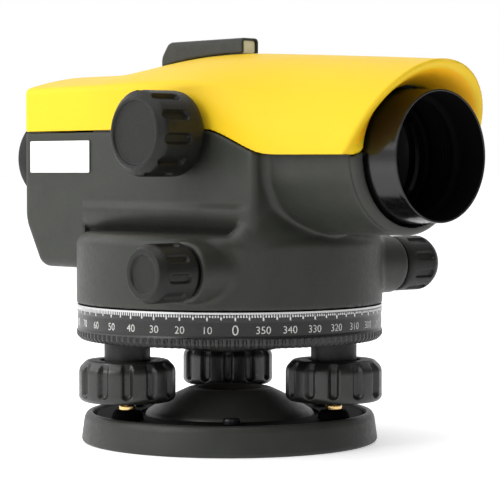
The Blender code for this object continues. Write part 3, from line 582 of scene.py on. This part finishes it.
def box_on_drum(x, y, z):
    """Box and drum, joined by a web that grows towards the front and stays inside the drum's rim."""
    box = box_and_tail(x, y, z)
    around, shoulder, crease = np.hypot(x, y) - DRUM_R, 4.0, 0.5
    drum = round_max(around, z - DRUM_Z[1], shoulder)
    drum = round_max(drum, DRUM_Z[0] - z, 0.6)
    web = round_min(box, drum, crease + 9.0 * ease((x - 29.0) / 13.0))
    return np.minimum(round_min(box, drum, crease), round_max(web, around, shoulder))


def housing(x, y, z):
    """Grey casting up to its joint with the cover, with the tangent shaft's bosses and the barrel."""
    boss = round_max(np.hypot(x - WORM_X, z - WORM_Z) - 9.5, np.abs(y) - 45.2, 0.9)
    body = round_min(box_on_drum(x, y, z), boss, 1.4)
    body = round_min(body, level_shelf(x, y, z), 1.2)
    body = round_max(body, (z - joint_line(x)) * 0.95, 0.5)
    barrel = round_max(from_sight_line(y, z) - BARREL_R, x - BARREL_FRONT, 1.2)
    barrel = np.maximum(barrel, BOX_X[1] - 4.0 - x)
    body = round_min(body, barrel, 2.6)
    return np.maximum(body, -housing_cavity(x, y, z))


def barrel_band(x, y, z):
    """Rounded band at the mouth of the barrel, below the cover, behind a narrow groove."""
    across = from_sight_line(y, z)
    band = round_max(across - BARREL_R, x - BAND_FRONT, 2.6)
    band = np.maximum(band, BARREL_FRONT - 0.2 - x)
    neck = np.maximum(across - BARREL_R + 0.6, BARREL_FRONT - 0.9 - x)
    band = np.minimum(band, np.maximum(neck, x - BARREL_FRONT))
    return np.maximum(np.maximum(band, SHADE_R - across), z - joint_line(x))


def make_housing():
    piece = cast("housing_casting", housing, (-76, -52, 43.5), (80.5, 57, 118.5), 0.8, 50)
    fit(piece, "alidade", "grey_housing_paint", HOUSING_PAINT, "main_housing")
    piece = cast("barrel_band", barrel_band, (76.8, -25, 67.5), (BAND_FRONT + 0.8, 25.4, 95), 0.42, 50)
    fit(piece, "alidade", "grey_housing_paint", HOUSING_PAINT)


# ---- Cover ---------------------------------------------------------------------------------------
# Stations of the ridge along the cover, and the height of the crease where its top meets its sides.
CROWN_X = [-75.0, -64.0, -52.0, -41.0, -29.5, -16.0, -3.5, 10.0, 24.0, 47.0, 74.0, 96.0]
CROWN_Z = [121.0, 121.0, 120.9, 121.2, 123.0, 125.0, 125.9, 126.1, 125.4, 124.1, 122.5, 121.1]
CREASE_Z = 116.1
FUNNEL = 0.68


def crown(x):
    """Height of the cover's ridge, with its bends evened out over 5 mm to either side."""
    return sum(np.interp(x + shift, CROWN_X, CROWN_Z) for shift in (-5.0, 0.0, 5.0)) / 3


def cover_skin(x, y, z):
    """Outside of the cover: a box with a crowned top that turns into an arch over the barrel."""
    ridge = crown(x)
    width = np.minimum(np.abs(y) / BOX_Y, 1.2)
    top = CREASE_Z + (ridge - CREASE_Z) * (1 - width ** 1.7)
    boxy = round_max(np.abs(y) - BOX_Y, (z - top) * 0.93, 1.6)
    height = ridge - AXIS_Z
    arch = (np.hypot(y / HOOD_R, (z - AXIS_Z) / height) - 1) * HOOD_R
    share = ease((x - 4.0) / 46.0)
    return boxy * (1 - share) + arch * share


def hood_front(x, y, z):
    """Front of the hood, swept forward towards its top.

    The inner part of its thickness, the share FUNNEL, runs back to the sunshade: as a bevel along the
    sides and as a funnel at the top.
    """
    wall = FUNNEL * (HOOD_R - SHADE_R)
    rise = np.clip((z - AXIS_Z) / HOOD_R, 0, 1.1)
    lip = BARREL_FRONT + 1.0 + (HOOD_TIP - BARREL_FRONT - 1.0) * rise ** 0.87
    outward = (from_sight_line(y, z) - SHADE_R) / wall
    share = (outward + 1 - np.sqrt((outward - 1) ** 2 + 0.03)) / 2
    front = BAND_FRONT + (lip - BAND_FRONT) * share
    steepness = np.hypot(1.15, (lip - BAND_FRONT) / wall * (outward < 1.1))
    return (x - front) / steepness


def cover(x, y, z):
    """Thin yellow shell over the housing, thick only where the hood runs in to the sunshade."""
    skin = cover_skin(x, y, z)
    shell = round_max(skin, BOX_X[0] - x, 2.4)
    room = np.maximum(skin + COVER_WALL, between(x, BOX_X[0] + COVER_WALL, BARREL_FRONT + 0.4))
    shell = round_max(shell, -room, 0.3)
    shell = round_max(shell, (joint_line(x) + 0.45 - z) * 0.95, 0.5)
    shell = round_max(shell, hood_front(x, y, z), 0.8)
    shade = np.maximum(SHADE_R - from_sight_line(y, z), 70.0 - x)
    shell = np.where(x > 72.0, round_max(shell, shade, 0.4), shell)
    return np.maximum(shell, -np.minimum(eye_bore(x, y, z), focus_bore(x, y, z)))


def hood_inside(x, y, z):
    """Faces of the funnel behind the lip of the hood, which take the oranger copy of the yellow as
    painted shade.
    """
    rim = SHADE_R + (FUNNEL - 0.02) * (HOOD_R - SHADE_R)
    return (x > BAND_FRONT + 0.5) & (from_sight_line(y, z) < rim)


def make_cover():
    piece = cast("yellow_cover", cover, (-75, -30, 91.5), (96.5, 30.6, 128), 0.66, 55)
    fit(piece, "alidade", "yellow_cover", YELLOW, "top_cover")
    # The funnel inside the hood takes the oranger copy of the yellow: painted shade.
    second_material(piece, YELLOW_PAINTED_SHADE, hood_inside)


# ---- Peep sight, label ---------------------------------------------------------------------------
SIGHT_LOW, SIGHT_HIGH = box_mm("peep_sight_body")
SIGHT_WINDOW = (2.9, 126.0, 130.4)  # half its width, its lower edge and its upper edge


def peep_sight(x, y, z):
    """Body of the sight on the cover's ridge, with a pocket at each end for a window."""
    side = np.abs(y) - SIGHT_HIGH.y
    rear = (SIGHT_LOW.x - x) * 0.80 + (z - (SIGHT_HIGH.z - 4.5)) * 0.60
    body = round_max(side, z - SIGHT_HIGH.z, 1.4)
    body = round_max(body, rear, 1.4)
    body = round_max(body, SIGHT_LOW.x - x, 1.0)
    body = round_max(body, x - SIGHT_HIGH.x, 0.7)
    body = np.maximum(body, crown(x) + 0.25 - z)
    half, low, high = SIGHT_WINDOW
    pocket = round_max(np.abs(y) - half, between(z, low, high), 1.0)
    front = np.maximum(pocket, SIGHT_HIGH.x - 1.5 - x)
    back = np.maximum(pocket, x - (SIGHT_LOW.x + 4.5))
    return np.maximum(body, -np.minimum(front, back))


def window_plate(x_low, x_high):
    """Small frosted plate with rounded corners, seen along X."""
    half, low, high = SIGHT_WINDOW

    def plate(x, y, z):
        outline = round_max(np.abs(y) - half + 0.1, between(z, low + 0.1, high - 0.1), 0.9)
        return round_max(outline, between(x, x_low, x_high), 0.25)

    return plate


def make_peep_sight():
    body = cast("sight_body", peep_sight, (-31.5, -4.8, 119), (11, 5.2, 132.2), 0.33, 50)
    fit(body, "alidade", "black_rubber", SIGHT_PLASTIC, "peep_sight_body")
    x = SIGHT_HIGH.x
    plate = window_plate(x - 1.6, x - 0.8)
    front = cast("sight_front_window", plate, (x - 2.4, -3.6, 125.4), (x + 0.1, 3.8, 131.4), 0.2)
    fit(front, "alidade", "optical_glass", FROSTED, "peep_sight_window")


def make_label():
    """Blank white label, let 0.2 mm into the paint so that no gap shows behind it."""
    low, high = box_mm("blank_label")

    def plate(x, y, z):
        outline = round_max(between(x, low.x, high.x), between(z, low.z, high.z), 0.5)
        return round_max(outline, between(y, low.y + 0.1, high.y + 0.2), 0.15)

    margin = Vector((1.0, 0.6, 1.0))
    piece = cast("blank_plate", plate, low - margin, high + Vector((1.0, 1.0, 1.0)), 0.25)
    fit(piece, "alidade", "white_label", LABEL, "blank_label")


# ---- Knobs ---------------------------------------------------------------------------------------
KNOB_PHASE = math.radians(-8)


def knob_profile(radius, length, face_radius, dish_radius, dish_depth, rear_round, spacing):
    """Closed profile of a knob on a 6.4 mm shaft, with a sunk disc in the face at its far end."""
    bore, bottom = 3.2, length - 3.0
    disc = length - dish_depth
    side = softened([
        (0, disc), (dish_radius - 0.5, disc, 0.3), (dish_radius, length, 0.4), (face_radius, length, 0.4),
        (radius, length - 2.3, 0.9), (radius, 0, rear_round), (bore, 0)])
    return dense(side + [(bore, bottom), (0, bottom)], spacing)


def make_focusing_knob():
    low, high = box_mm("focusing_knob")
    radius, length = (high.x - low.x) / 2, high.y - low.y
    profile = knob_profile(radius, length, face_radius=11.0, dish_radius=10.2, dish_depth=0.9,
                           rear_round=2.6, spacing=0.4)
    dent = flutes(radius, count=11, width=3.7, low=6.0, high=length - 1.7, depth=1.3, phase=KNOB_PHASE)
    piece = turned("focusing_grip", profile, (FOCUS_X, high.y, FOCUS_Z), "-Y", 264, dent)
    fit(piece, "focusing_drive", "black_rubber", RUBBER, "focusing_knob")


def make_tangent_knobs():
    """A knob at each end of the tangent shaft, and a black ring in the gap where it meets its boss:
    painted shade for that gap.
    """
    shade_ring_profile = softened([(3.6, 45.0), (7.9, 45.0, 0.3), (7.9, 46.2, 0.3), (3.6, 46.2)])
    for side, axis in (("right", "-Y"), ("left", "Y")):
        low, high = box_mm(f"tangent_knob_{side}")
        radius, length = (high.x - low.x) / 2, high.y - low.y
        near = high.y if side == "right" else low.y
        profile = knob_profile(radius, length, face_radius=7.7, dish_radius=5.9, dish_depth=0.8,
                               rear_round=1.8, spacing=0.35)
        dent = flutes(radius, count=9, width=3.2, low=3.4, high=length - 3.0, depth=0.8, phase=KNOB_PHASE,
                      edge=0.5)
        piece = turned(f"tangent_grip_{side}", profile, (WORM_X, near, WORM_Z), axis, 252, dent)
        fit(piece, "tangent_drive", "black_rubber", RUBBER, f"tangent_knob_{side}")
        # Black ring in the gap between knob and boss: painted shade.
        dark_ring = turned(f"tangent_shade_ring_{side}", shade_ring_profile, (WORM_X, 0, WORM_Z), axis, 96)
        fit(dark_ring, "alidade", "black_anodised", FLAT_BLACK_AND_SHADE)


def make_footscrew_knob(number, at):
    low, high = box_mm(f"footscrew_knob_{number}")
    radius = 15.5
    profile = dense(softened([
        (4.0, low.z), (14.2, low.z, 0.9), (radius, low.z + 1.4, 0.9), (radius, high.z - 2.6, 1.2),
        (13.0, high.z, 0.8), (8.6, high.z, 0.5), (8.2, 22.8), (4.0, 22.8)]), 0.4)
    towards_camera = math.atan2(CAMERA_PLACE[1] / MM - at[1], CAMERA_PLACE[0] / MM - at[0])
    dent = flutes(radius, count=12, width=4.2, low=low.z + 1.2, high=high.z + 4, depth=1.5,
                  phase=towards_camera, edge=1.3)
    knob = turned(f"footscrew_grip_{number}", profile, at, "Z", 288, dent)
    fit(knob, f"footscrew_{number}", "black_rubber", FOOT_PLASTIC, f"footscrew_knob_{number}")


def make_footscrew_spindle(number, at):
    """Brass spindle with its foot, neck and thread."""
    foot, top = box_mm(f"footscrew_spindle_{number}")
    neck = softened([
        (0, foot.z), (2.6, foot.z, 0.6), (3.8, 6.2, 0.6), (3.4, 7.4, 0.5), (2.2, 8.0, 0.3),
        (2.2, 11.4, 0.3), (2.6, 11.8, 0.3), (2.6, 13.2, 0.3), (2.2, 13.6, 0.2), (2.2, 15.0)])
    thread = [(3.5 - 0.35 * (k % 2), 15.6 + 0.375 * k) for k in range(62)]
    profile = neck + thread + [(2.8, top.z), (0, top.z)]
    spindle = turned(f"footscrew_thread_{number}", profile, at, "Z", 72)
    fit(spindle, f"footscrew_{number}", "brass", BRASS, f"footscrew_spindle_{number}")


def make_footscrews():
    """Three footscrews, and a flat black ring round the neck of each spindle, which darkens the spindle
    just below its knob.
    """
    dark_ring = softened([(2.8, 9.2), (5.2, 9.2), (5.0, 10.4, 0.4), (4.0, 11.9, 0.5), (2.8, 11.9, 0.2)])
    for number, place in enumerate(FOOT_PLACES, 1):
        at = (*place, 0)
        make_footscrew_knob(number, at)
        make_footscrew_spindle(number, at)
        fit(turned(f"spindle_dark_ring_{number}", dark_ring, at, "Z", 72), "base", "steel", FLAT_BLACK_AND_SHADE)


# ---- Horizontal circle ---------------------------------------------------------------------------
NUMBER_BAND = (37.0, 42.6)
ZERO_AZIMUTH = math.radians(-40.5)


def make_circle_body():
    """Ring with a slightly sunk band for the numbers and a knurled grip below it."""
    low, high = CIRCLE_LOW.z, CIRCLE_HIGH.z
    band_low, band_high = NUMBER_BAND
    rim, band, inner = DRUM_R - 0.2, DRUM_R - 0.3, 47.3
    ribs = 126

    def knurl(angle, radius, height):
        inside = ease((band_low - 0.3 - height) / 0.3)
        wave = np.clip(np.cos(angle * ribs) * 1.8, -1, 1)
        return (0.5 + 0.5 * wave) * inside * (radius > inner + 0.6)

    profile = dense(softened([
        (15.0, high), (rim, high, 0.2), (rim, band_high), (band, band_high - 0.1), (band, band_low),
        (DRUM_R, band_low - 0.3, 0.2), (DRUM_R, low + 1.4, 0.5), (DRUM_R - 1.4, low, 0.4), (inner, low),
        (inner, high - 2.4), (15.0, high - 2.4)]), 0.9)
    piece = turned("circle_ring", profile, segments=8 * ribs, dent=knurl, sharp=60)
    fit(piece, "circle", "circle_black", CIRCLE_BLACK, "horizontal_circle")
    second_material(piece, KNURL_BLACK, lambda x, y, z: z < band_low - 0.2)


def wrapped(points, azimuth, radius):
    """Flat points (along, up, out) laid on the circle's rim at an azimuth."""
    angle = azimuth + points[:, 0] / radius
    reach = radius + points[:, 2]
    return np.stack([reach * np.cos(angle), reach * np.sin(angle), points[:, 1]], 1)


def flat_text(text, size, height):
    """Points and faces of a number, in millimetres, centred across and on a height."""
    curve = bpy.data.curves.new(text, "FONT")
    curve.body = text
    curve.size = size
    curve.align_x = "CENTER"
    curve.align_y = "CENTER"
    curve.extrude = 0.05
    curve.resolution_u = 4
    guide = bpy.data.objects.new(text, curve)
    mesh = bpy.data.meshes.new_from_object(guide)
    points = np.array([vertex.co for vertex in mesh.vertices]) + (0, height, 0)
    faces = [tuple(face.vertices) for face in mesh.polygons]
    bpy.data.objects.remove(guide)
    bpy.data.meshes.remove(mesh)
    return points, faces


def bar(width, low, high, out):
    """A small block: centred across, between two heights, standing out from the rim."""
    points = np.array(list(itertools.product((-width / 2, width / 2), (low, high), (-0.1, out))))
    faces = [(0, 1, 3, 2), (4, 6, 7, 5), (0, 4, 5, 1), (2, 3, 7, 6), (0, 2, 6, 4), (1, 5, 7, 3)]
    return points, faces


def make_graduation():
    """Silver edge with a line for each degree, and a number for every ten."""
    radius, top = DRUM_R - 0.2, CIRCLE_HIGH.z - 0.1
    lines_top = CIRCLE_HIGH.z - 0.7
    inner, outer = radius - 0.1, radius + 0.06
    edge = [(inner, top), (outer, top), (outer, lines_top), (inner, lines_top)]
    fit(turned("circle_silver_band", edge, segments=360), "circle", "circle_black", SCALE_SILVER)
    lines, numbers = [], []
    for degree in range(360):
        azimuth = ZERO_AZIMUTH - math.radians(degree)
        length = 2.0 if degree % 10 == 0 else 1.7 if degree % 5 == 0 else 1.0
        points, faces = bar(0.5, lines_top - length, lines_top, 0.05)
        lines.append((wrapped(points, azimuth, radius), faces))
        if degree % 10 == 0:
            points, faces = flat_text(str(degree), 4.5 if degree == 0 else 3.3, 39.35)
            numbers.append((wrapped(points, azimuth, DRUM_R - 0.3), faces))
    fit(make_piece("circle_lines", *joined(lines)), "circle", "circle_black", SCALE_SILVER)
    fit(make_piece("circle_numbers", *joined(numbers)), "circle", "circle_black", SCALE_WHITE)


# ---- Base and tribrach ---------------------------------------------------------------------------
def tribrach(x, y, z):
    """Plate with a hub below, the column of the standing axis above, and a boss for each footscrew."""
    rho = np.hypot(x, y)
    plate = round_max(rho - 46.6, between(z, 34.4, 38.0), 0.8)
    hub = round_max(rho - 16.2, between(z, 30.0, 37.0), 0.8)
    body = round_min(plate, hub, 1.5)
    column = np.maximum(rho - np.where(z > 52.0, 11.0, 14.0), between(z, 36.0, 61.0))
    body = np.minimum(body, column)
    for foot_x, foot_y in FOOT_PLACES:
        from_axis = np.hypot(x - foot_x, y - foot_y)
        boss = round_max(from_axis - 7.3, between(z, 25.6, 37.0), 0.6)
        body = round_min(body, boss, 1.2)
        body = np.maximum(body, 5.6 - from_axis)
    return np.maximum(body, 8.3 - rho)


def make_tribrach():
    piece = cast("tribrach_casting", tribrach, (-48, -48, 24), (48.5, 48.5, 62), 0.7, 50)
    fit(piece, "tribrach", "grey_housing_paint", TRIBRACH_PAINT, "tribrach_body")


def make_base():
    """Base plate with its raised rim, recess and dome, and the brass insert for the tripod screw."""
    top, rim_r = box_mm("base_plate")[1].z, 44.9
    profile = dense(softened([
        (10.34, 0.0), (47.9, 0.0, 0.5), (48.5, 0.8, 0.6), (47.5, 8.2, 1.0), (46.5, 9.7, 0.9),
        (rim_r, 9.7, 0.5), (44.2, 4.6, 0.8), (28.8, 4.6, 1.2), (27.4, 9.6, 1.0), (18.0, 15.2, 2.0),
        (13.6, top, 0.6), (10.34, top)]), 4.0)
    plate = turned("base_casting", profile, segments=256)
    fit(plate, "base", "grey_base_paint", BASE_PAINT, "base_plate")
    # Recess and dome take the lighter copy of the base paint: painted light.
    second_material(plate, RECESS_PAINTED_LIGHT, lambda x, y, z: (np.hypot(x, y) < rim_r) & (z > 3))
    pitch, bore = 2.31, 7.94
    thread = [(bore + 0.65 * (k % 2), 1.2 + pitch / 4 * k) for k in range(24)]
    outside = [(bore, 14.8), (9.9, 14.8), (9.9, 0.6), (bore, 0.6)]
    fit(turned("tripod_thread", thread + outside, segments=128), "base", "brass", BRASS, "thread_insert")


# ---- Telescope -----------------------------------------------------------------------------------
SIGHT_LINE = (0, 0, AXIS_Z)


def lens_face(rim, height, sag, steps=16):
    """Profile of a domed face, from its middle to its rim."""
    return [(rim * k / steps, height - sag * (k / steps) ** 2) for k in range(steps + 1)]


def make_sleeve():
    """Sunshade with its baffles, dark inside, and the ring that holds the lens."""
    front, inside_r = SLEEVE_HIGH.x, 19.15
    baffles = [(18.3 - 0.3 * (k % 2), 81.0 - 0.6 * k) for k in range(14)]
    outside = softened([
        (20.7, 58.0), (20.7, 79.0), (20.4, 80.5, 0.5), (19.85, front - 1.8, 0.3), (19.85, front, 0.25),
        (19.2, front, 0.3), (19.0, 82.8, 0.3), (17.4, 82.2, 0.2), (17.4, 81.4, 0.2)])
    profile = outside + baffles + [(18.2, 72.6), (18.2, 58.0)]
    sleeve = turned("sunshade_tube", profile, SIGHT_LINE, "X", 192)
    fit(sleeve, "alidade", "black_anodised", SLEEVE_BLACK, "objective_sleeve")

    def inside(x, y, z):
        return (from_sight_line(y, z) < inside_r) & (x < front - 0.6)

    second_material(sleeve, FLAT_BLACK_AND_SHADE, inside)
    ring = softened([(16.3, 69.6), (17.8, 69.6), (17.8, 72.0, 0.3), (16.6, 72.0, 0.5), (16.3, 71.4)])
    piece = turned("lens_ring", ring, SIGHT_LINE, "X", 128)
    fit(piece, "alidade", "black_anodised", FLAT_BLACK_AND_SHADE, "lens_retaining_ring")


def make_lens():
    profile = lens_face(17.8, 69.2, 1.6) + lens_face(17.8, 61.5, -1.6)[::-1]
    piece = turned("objective_glass", profile, SIGHT_LINE, "X", 96, sharp=60)
    fit(piece, "alidade", "optical_glass", GLASS, "objective_lens")


def make_eyepiece():
    """Diopter ring, soft eyecup and eye lens, which turn together."""
    radius = 16.0
    grip = dense(softened([
        (12.1, 74.3), (15.2, 74.3, 0.6), (radius, 75.4, 0.6), (radius, 85.6, 0.5), (12.1, 85.6)]), 0.5)
    dent = flutes(radius, count=30, width=2.0, low=76.3, high=84.8, depth=0.6, edge=0.5)
    ring = turned("diopter_grip", grip, SIGHT_LINE, "-X", 360, dent)
    fit(ring, "diopter", "black_rubber", RUBBER, "diopter_ring")
    cup = softened([
        (8.2, 85.9), (15.4, 85.9, 0.4), (15.2, 87.0, 0.5), (15.9, 90.5, 1.0), (15.7, 93.6, 0.8),
        (14.9, 94.9, 0.6), (13.2, 94.6, 0.8), (11.2, 92.6, 1.0), (8.4, 90.3, 0.8)], 6)
    piece = turned("soft_eyecup", cup, SIGHT_LINE, "-X", 160)
    fit(piece, "diopter", "black_rubber", CUP_RUBBER)
    lens = lens_face(7.6, 88.9, 0.9, 10) + [(7.6, 86.2), (0, 86.2)]
    piece = turned("eye_glass", lens, SIGHT_LINE, "-X", 64, sharp=60)
    fit(piece, "diopter", "optical_glass", GLASS, "eye_lens")


# ---- Circular level ------------------------------------------------------------------------------
def make_circular_level():
    """Cup with a domed vial, the ring on its glass and the bubble under it."""
    at = (BUBBLE_X, BUBBLE_Y, BUBBLE_Z)
    holder = softened([
        (0, 0), (11.2, 0, 0.4), (12.0, 0.8, 0.4), (12.0, 8.4, 0.5), (10.4, 8.4, 0.4), (9.9, 7.9, 0.3),
        (9.9, 2.2), (0, 2.2)])
    cup = turned("level_cup", holder, at, "Z", 160)
    fit(cup, "alidade", "black_anodised", SLEEVE_BLACK, "circular_level_holder")
    vial = lens_face(9.6, 8.2, 0.9) + [(9.6, 2.5), (0, 2.5)]
    glass = turned("level_glass", vial, at, "Z", 96, sharp=60)
    fit(glass, "alidade", "optical_glass", SPIRIT, "circular_level_vial")
    target = [(3.0, 8.18), (3.35, 8.16), (3.35, 8.30), (3.0, 8.32)]
    fit(turned("level_target_ring", target, at, "Z", 96), "alidade", "optical_glass", MARK_BLACK)
    bubble = [(2.4 * math.sin(a), 8.22 + 0.25 * math.cos(a)) for a in np.linspace(0, math.pi, 17)]
    bubble[0], bubble[-1] = (0, bubble[0][1]), (0, bubble[-1][1])
    fit(turned("level_bubble", bubble, at, "Z", 64), "alidade", "optical_glass", GLASS)


def prism_mount(x, y, z):
    """Hood of the viewing prism over the circular level, open below and with a window to the rear."""
    low, high = box_mm("viewing_prism_mount")
    body = round_max(between(x, low.x, high.x), between(y, low.y, high.y), 2.5)
    slope = (z - (high.z - 5.0)) * 0.8 + (x - (high.x - 3.0)) * 0.6
    body = round_max(body, slope, 2.0)
    body = round_max(body, between(z, low.z, high.z), 1.2)
    room = np.maximum(np.abs(x - BUBBLE_X) - 7.5, z - 105.5)
    room = np.maximum(room, between(y, BUBBLE_Y - 7.5, BUBBLE_Y + 6.5))
    window = round_max(np.abs(y - BUBBLE_Y + 0.5) - 6.2, between(z, 95.0, 104.2), 1.2)
    window = np.maximum(window, x - BUBBLE_X)
    return np.maximum(body, -np.minimum(room, window))


def make_prism_mount():
    low, high = box_mm("viewing_prism_mount")
    margin = Vector((1.2, 1.2, 1.2))
    piece = cast("prism_hood", prism_mount, low - margin, high + margin, 0.45, 50)
    fit(piece, "alidade", "black_rubber", RUBBER, "viewing_prism_mount")


def repaint_frame():
    """Better materials on the frame's own shapes, nearly all of them hidden inside."""
    numbers = (1, 2, 3)
    bushes = [f"footscrew_bush_{k}" for k in numbers]
    plate_screws = [f"spring_plate_screw_{k}" for k in numbers]
    level_screws = [f"circular_level_screw_{k}" for k in numbers]
    repaint(BRASS, "axis_liner", "worm_wheel", "focusing_rack", *bushes)
    repaint(FLAT_BLACK_AND_SHADE, "spring_plate", "eyepiece_tube", "circle_friction_ring")
    repaint(DARK_STEEL, *plate_screws)
    repaint(STEEL, "clutch_spring", "axis_spindle", "worm_shaft", "focusing_shaft", "reticle_ring",
            "suspension_ribbon_left", "suspension_ribbon_right", *level_screws)
    repaint(ALUMINIUM, "telescope_tube", "focusing_lens_cell", "compensator_frame", "pendulum",
            "damper_piston", "damper_cup")
    repaint(GLASS, "focusing_lens", "reticle_glass", "fixed_prism_front", "fixed_prism_rear",
            "pendulum_prism", "viewing_prism")


# ---- Studio --------------------------------------------------------------------------------------
DARK_AZIMUTH = math.radians(15)


def make_floor():
    bpy.ops.mesh.primitive_plane_add(size=30)
    floor = bpy.context.object
    floor.name = "studio_floor"
    material, shader = new_material("pale_floor", (0.92, 0.92, 0.92), 0.7)
    shader.inputs["Emission Color"].default_value = (1, 1, 1, 1)
    shader.inputs["Emission Strength"].default_value = 0.45
    floor.data.materials.append(material)


def area_light(name, place, target, width, height, power):
    """Rectangular light at a place, facing its target; the camera doesn't see it."""
    light = bpy.data.lights.new(name, "AREA")
    light.shape = "RECTANGLE"
    light.size, light.size_y = width, height
    light.energy = power
    lamp = bpy.data.objects.new(name, light)
    lamp.location = place
    lamp.rotation_euler = (target - place).to_track_quat("-Z", "Y").to_euler()
    lamp.visible_camera = False
    bpy.context.scene.collection.objects.link(lamp)


def softbox(name, azimuth, elevation, distance, width, height, power):
    """Area light that faces the middle of the level."""
    a, e = math.radians(azimuth), math.radians(elevation)
    target = Vector((0, 0, 0.07))
    outward = Vector((math.cos(e) * math.cos(a), math.cos(e) * math.sin(a), math.sin(e)))
    area_light(name, target + distance * outward, target, width, height, power)


def make_room():
    """White room that is darker in front of the level, round DARK_AZIMUTH."""
    world = bpy.data.worlds.new("studio_room")
    world.use_nodes = True
    nodes, links = world.node_tree.nodes, world.node_tree.links
    direction = nodes.new("ShaderNodeTexCoord")
    towards = nodes.new("ShaderNodeVectorMath")
    towards.operation = "DOT_PRODUCT"
    towards.inputs[1].default_value = (math.cos(DARK_AZIMUTH), math.sin(DARK_AZIMUTH), 0)
    share = nodes.new("ShaderNodeMapRange")
    share.inputs["From Min"].default_value = -0.2
    share.inputs["From Max"].default_value = 0.62
    ramp = nodes.new("ShaderNodeValToRGB")
    ramp.color_ramp.interpolation = "EASE"
    ramp.color_ramp.elements[0].position = 0.0
    ramp.color_ramp.elements[0].color = (1, 1, 1, 1)
    ramp.color_ramp.elements[1].position = 1.0
    ramp.color_ramp.elements[1].color = (0.2, 0.2, 0.2, 1)
    links.new(direction.outputs["Generated"], towards.inputs[0])
    links.new(towards.outputs["Value"], share.inputs["Value"])
    links.new(share.outputs["Result"], ramp.inputs["Fac"])
    links.new(ramp.outputs["Color"], nodes["Background"].inputs["Color"])
    bpy.context.scene.world = world


def make_studio():
    make_floor()
    make_room()
    softbox("left_box", azimuth=-96, elevation=30, distance=0.9, width=0.45, height=0.5, power=2.7)
    softbox("top_box", azimuth=-60, elevation=80, distance=0.9, width=0.7, height=0.7, power=2.2)
    bounce = Vector((-0.17, -0.21, 0.16))
    below = Vector((bounce.x, bounce.y, 0))
    area_light("floor_bounce", bounce, below, width=0.26, height=0.3, power=0.25)
    bpy.context.scene.view_settings.view_transform = "Standard"


def make_camera():
    camera = bpy.data.cameras.new("camera")
    camera.lens = 152.6
    camera.sensor_width = 36
    camera.clip_end = 50
    holder = bpy.data.objects.new("camera", camera)
    holder.location = CAMERA_PLACE
    holder.rotation_euler = (math.radians(87.84), 0, math.radians(46.94))
    bpy.context.scene.collection.objects.link(holder)
    bpy.context.scene.camera = holder


make_housing()
make_cover()
make_peep_sight()
make_label()
make_focusing_knob()
make_tangent_knobs()
make_footscrews()
make_circle_body()
make_graduation()
make_tribrach()
make_base()
make_sleeve()
make_lens()
make_eyepiece()
make_circular_level()
make_prism_mount()
repaint_frame()
make_studio()
make_camera()
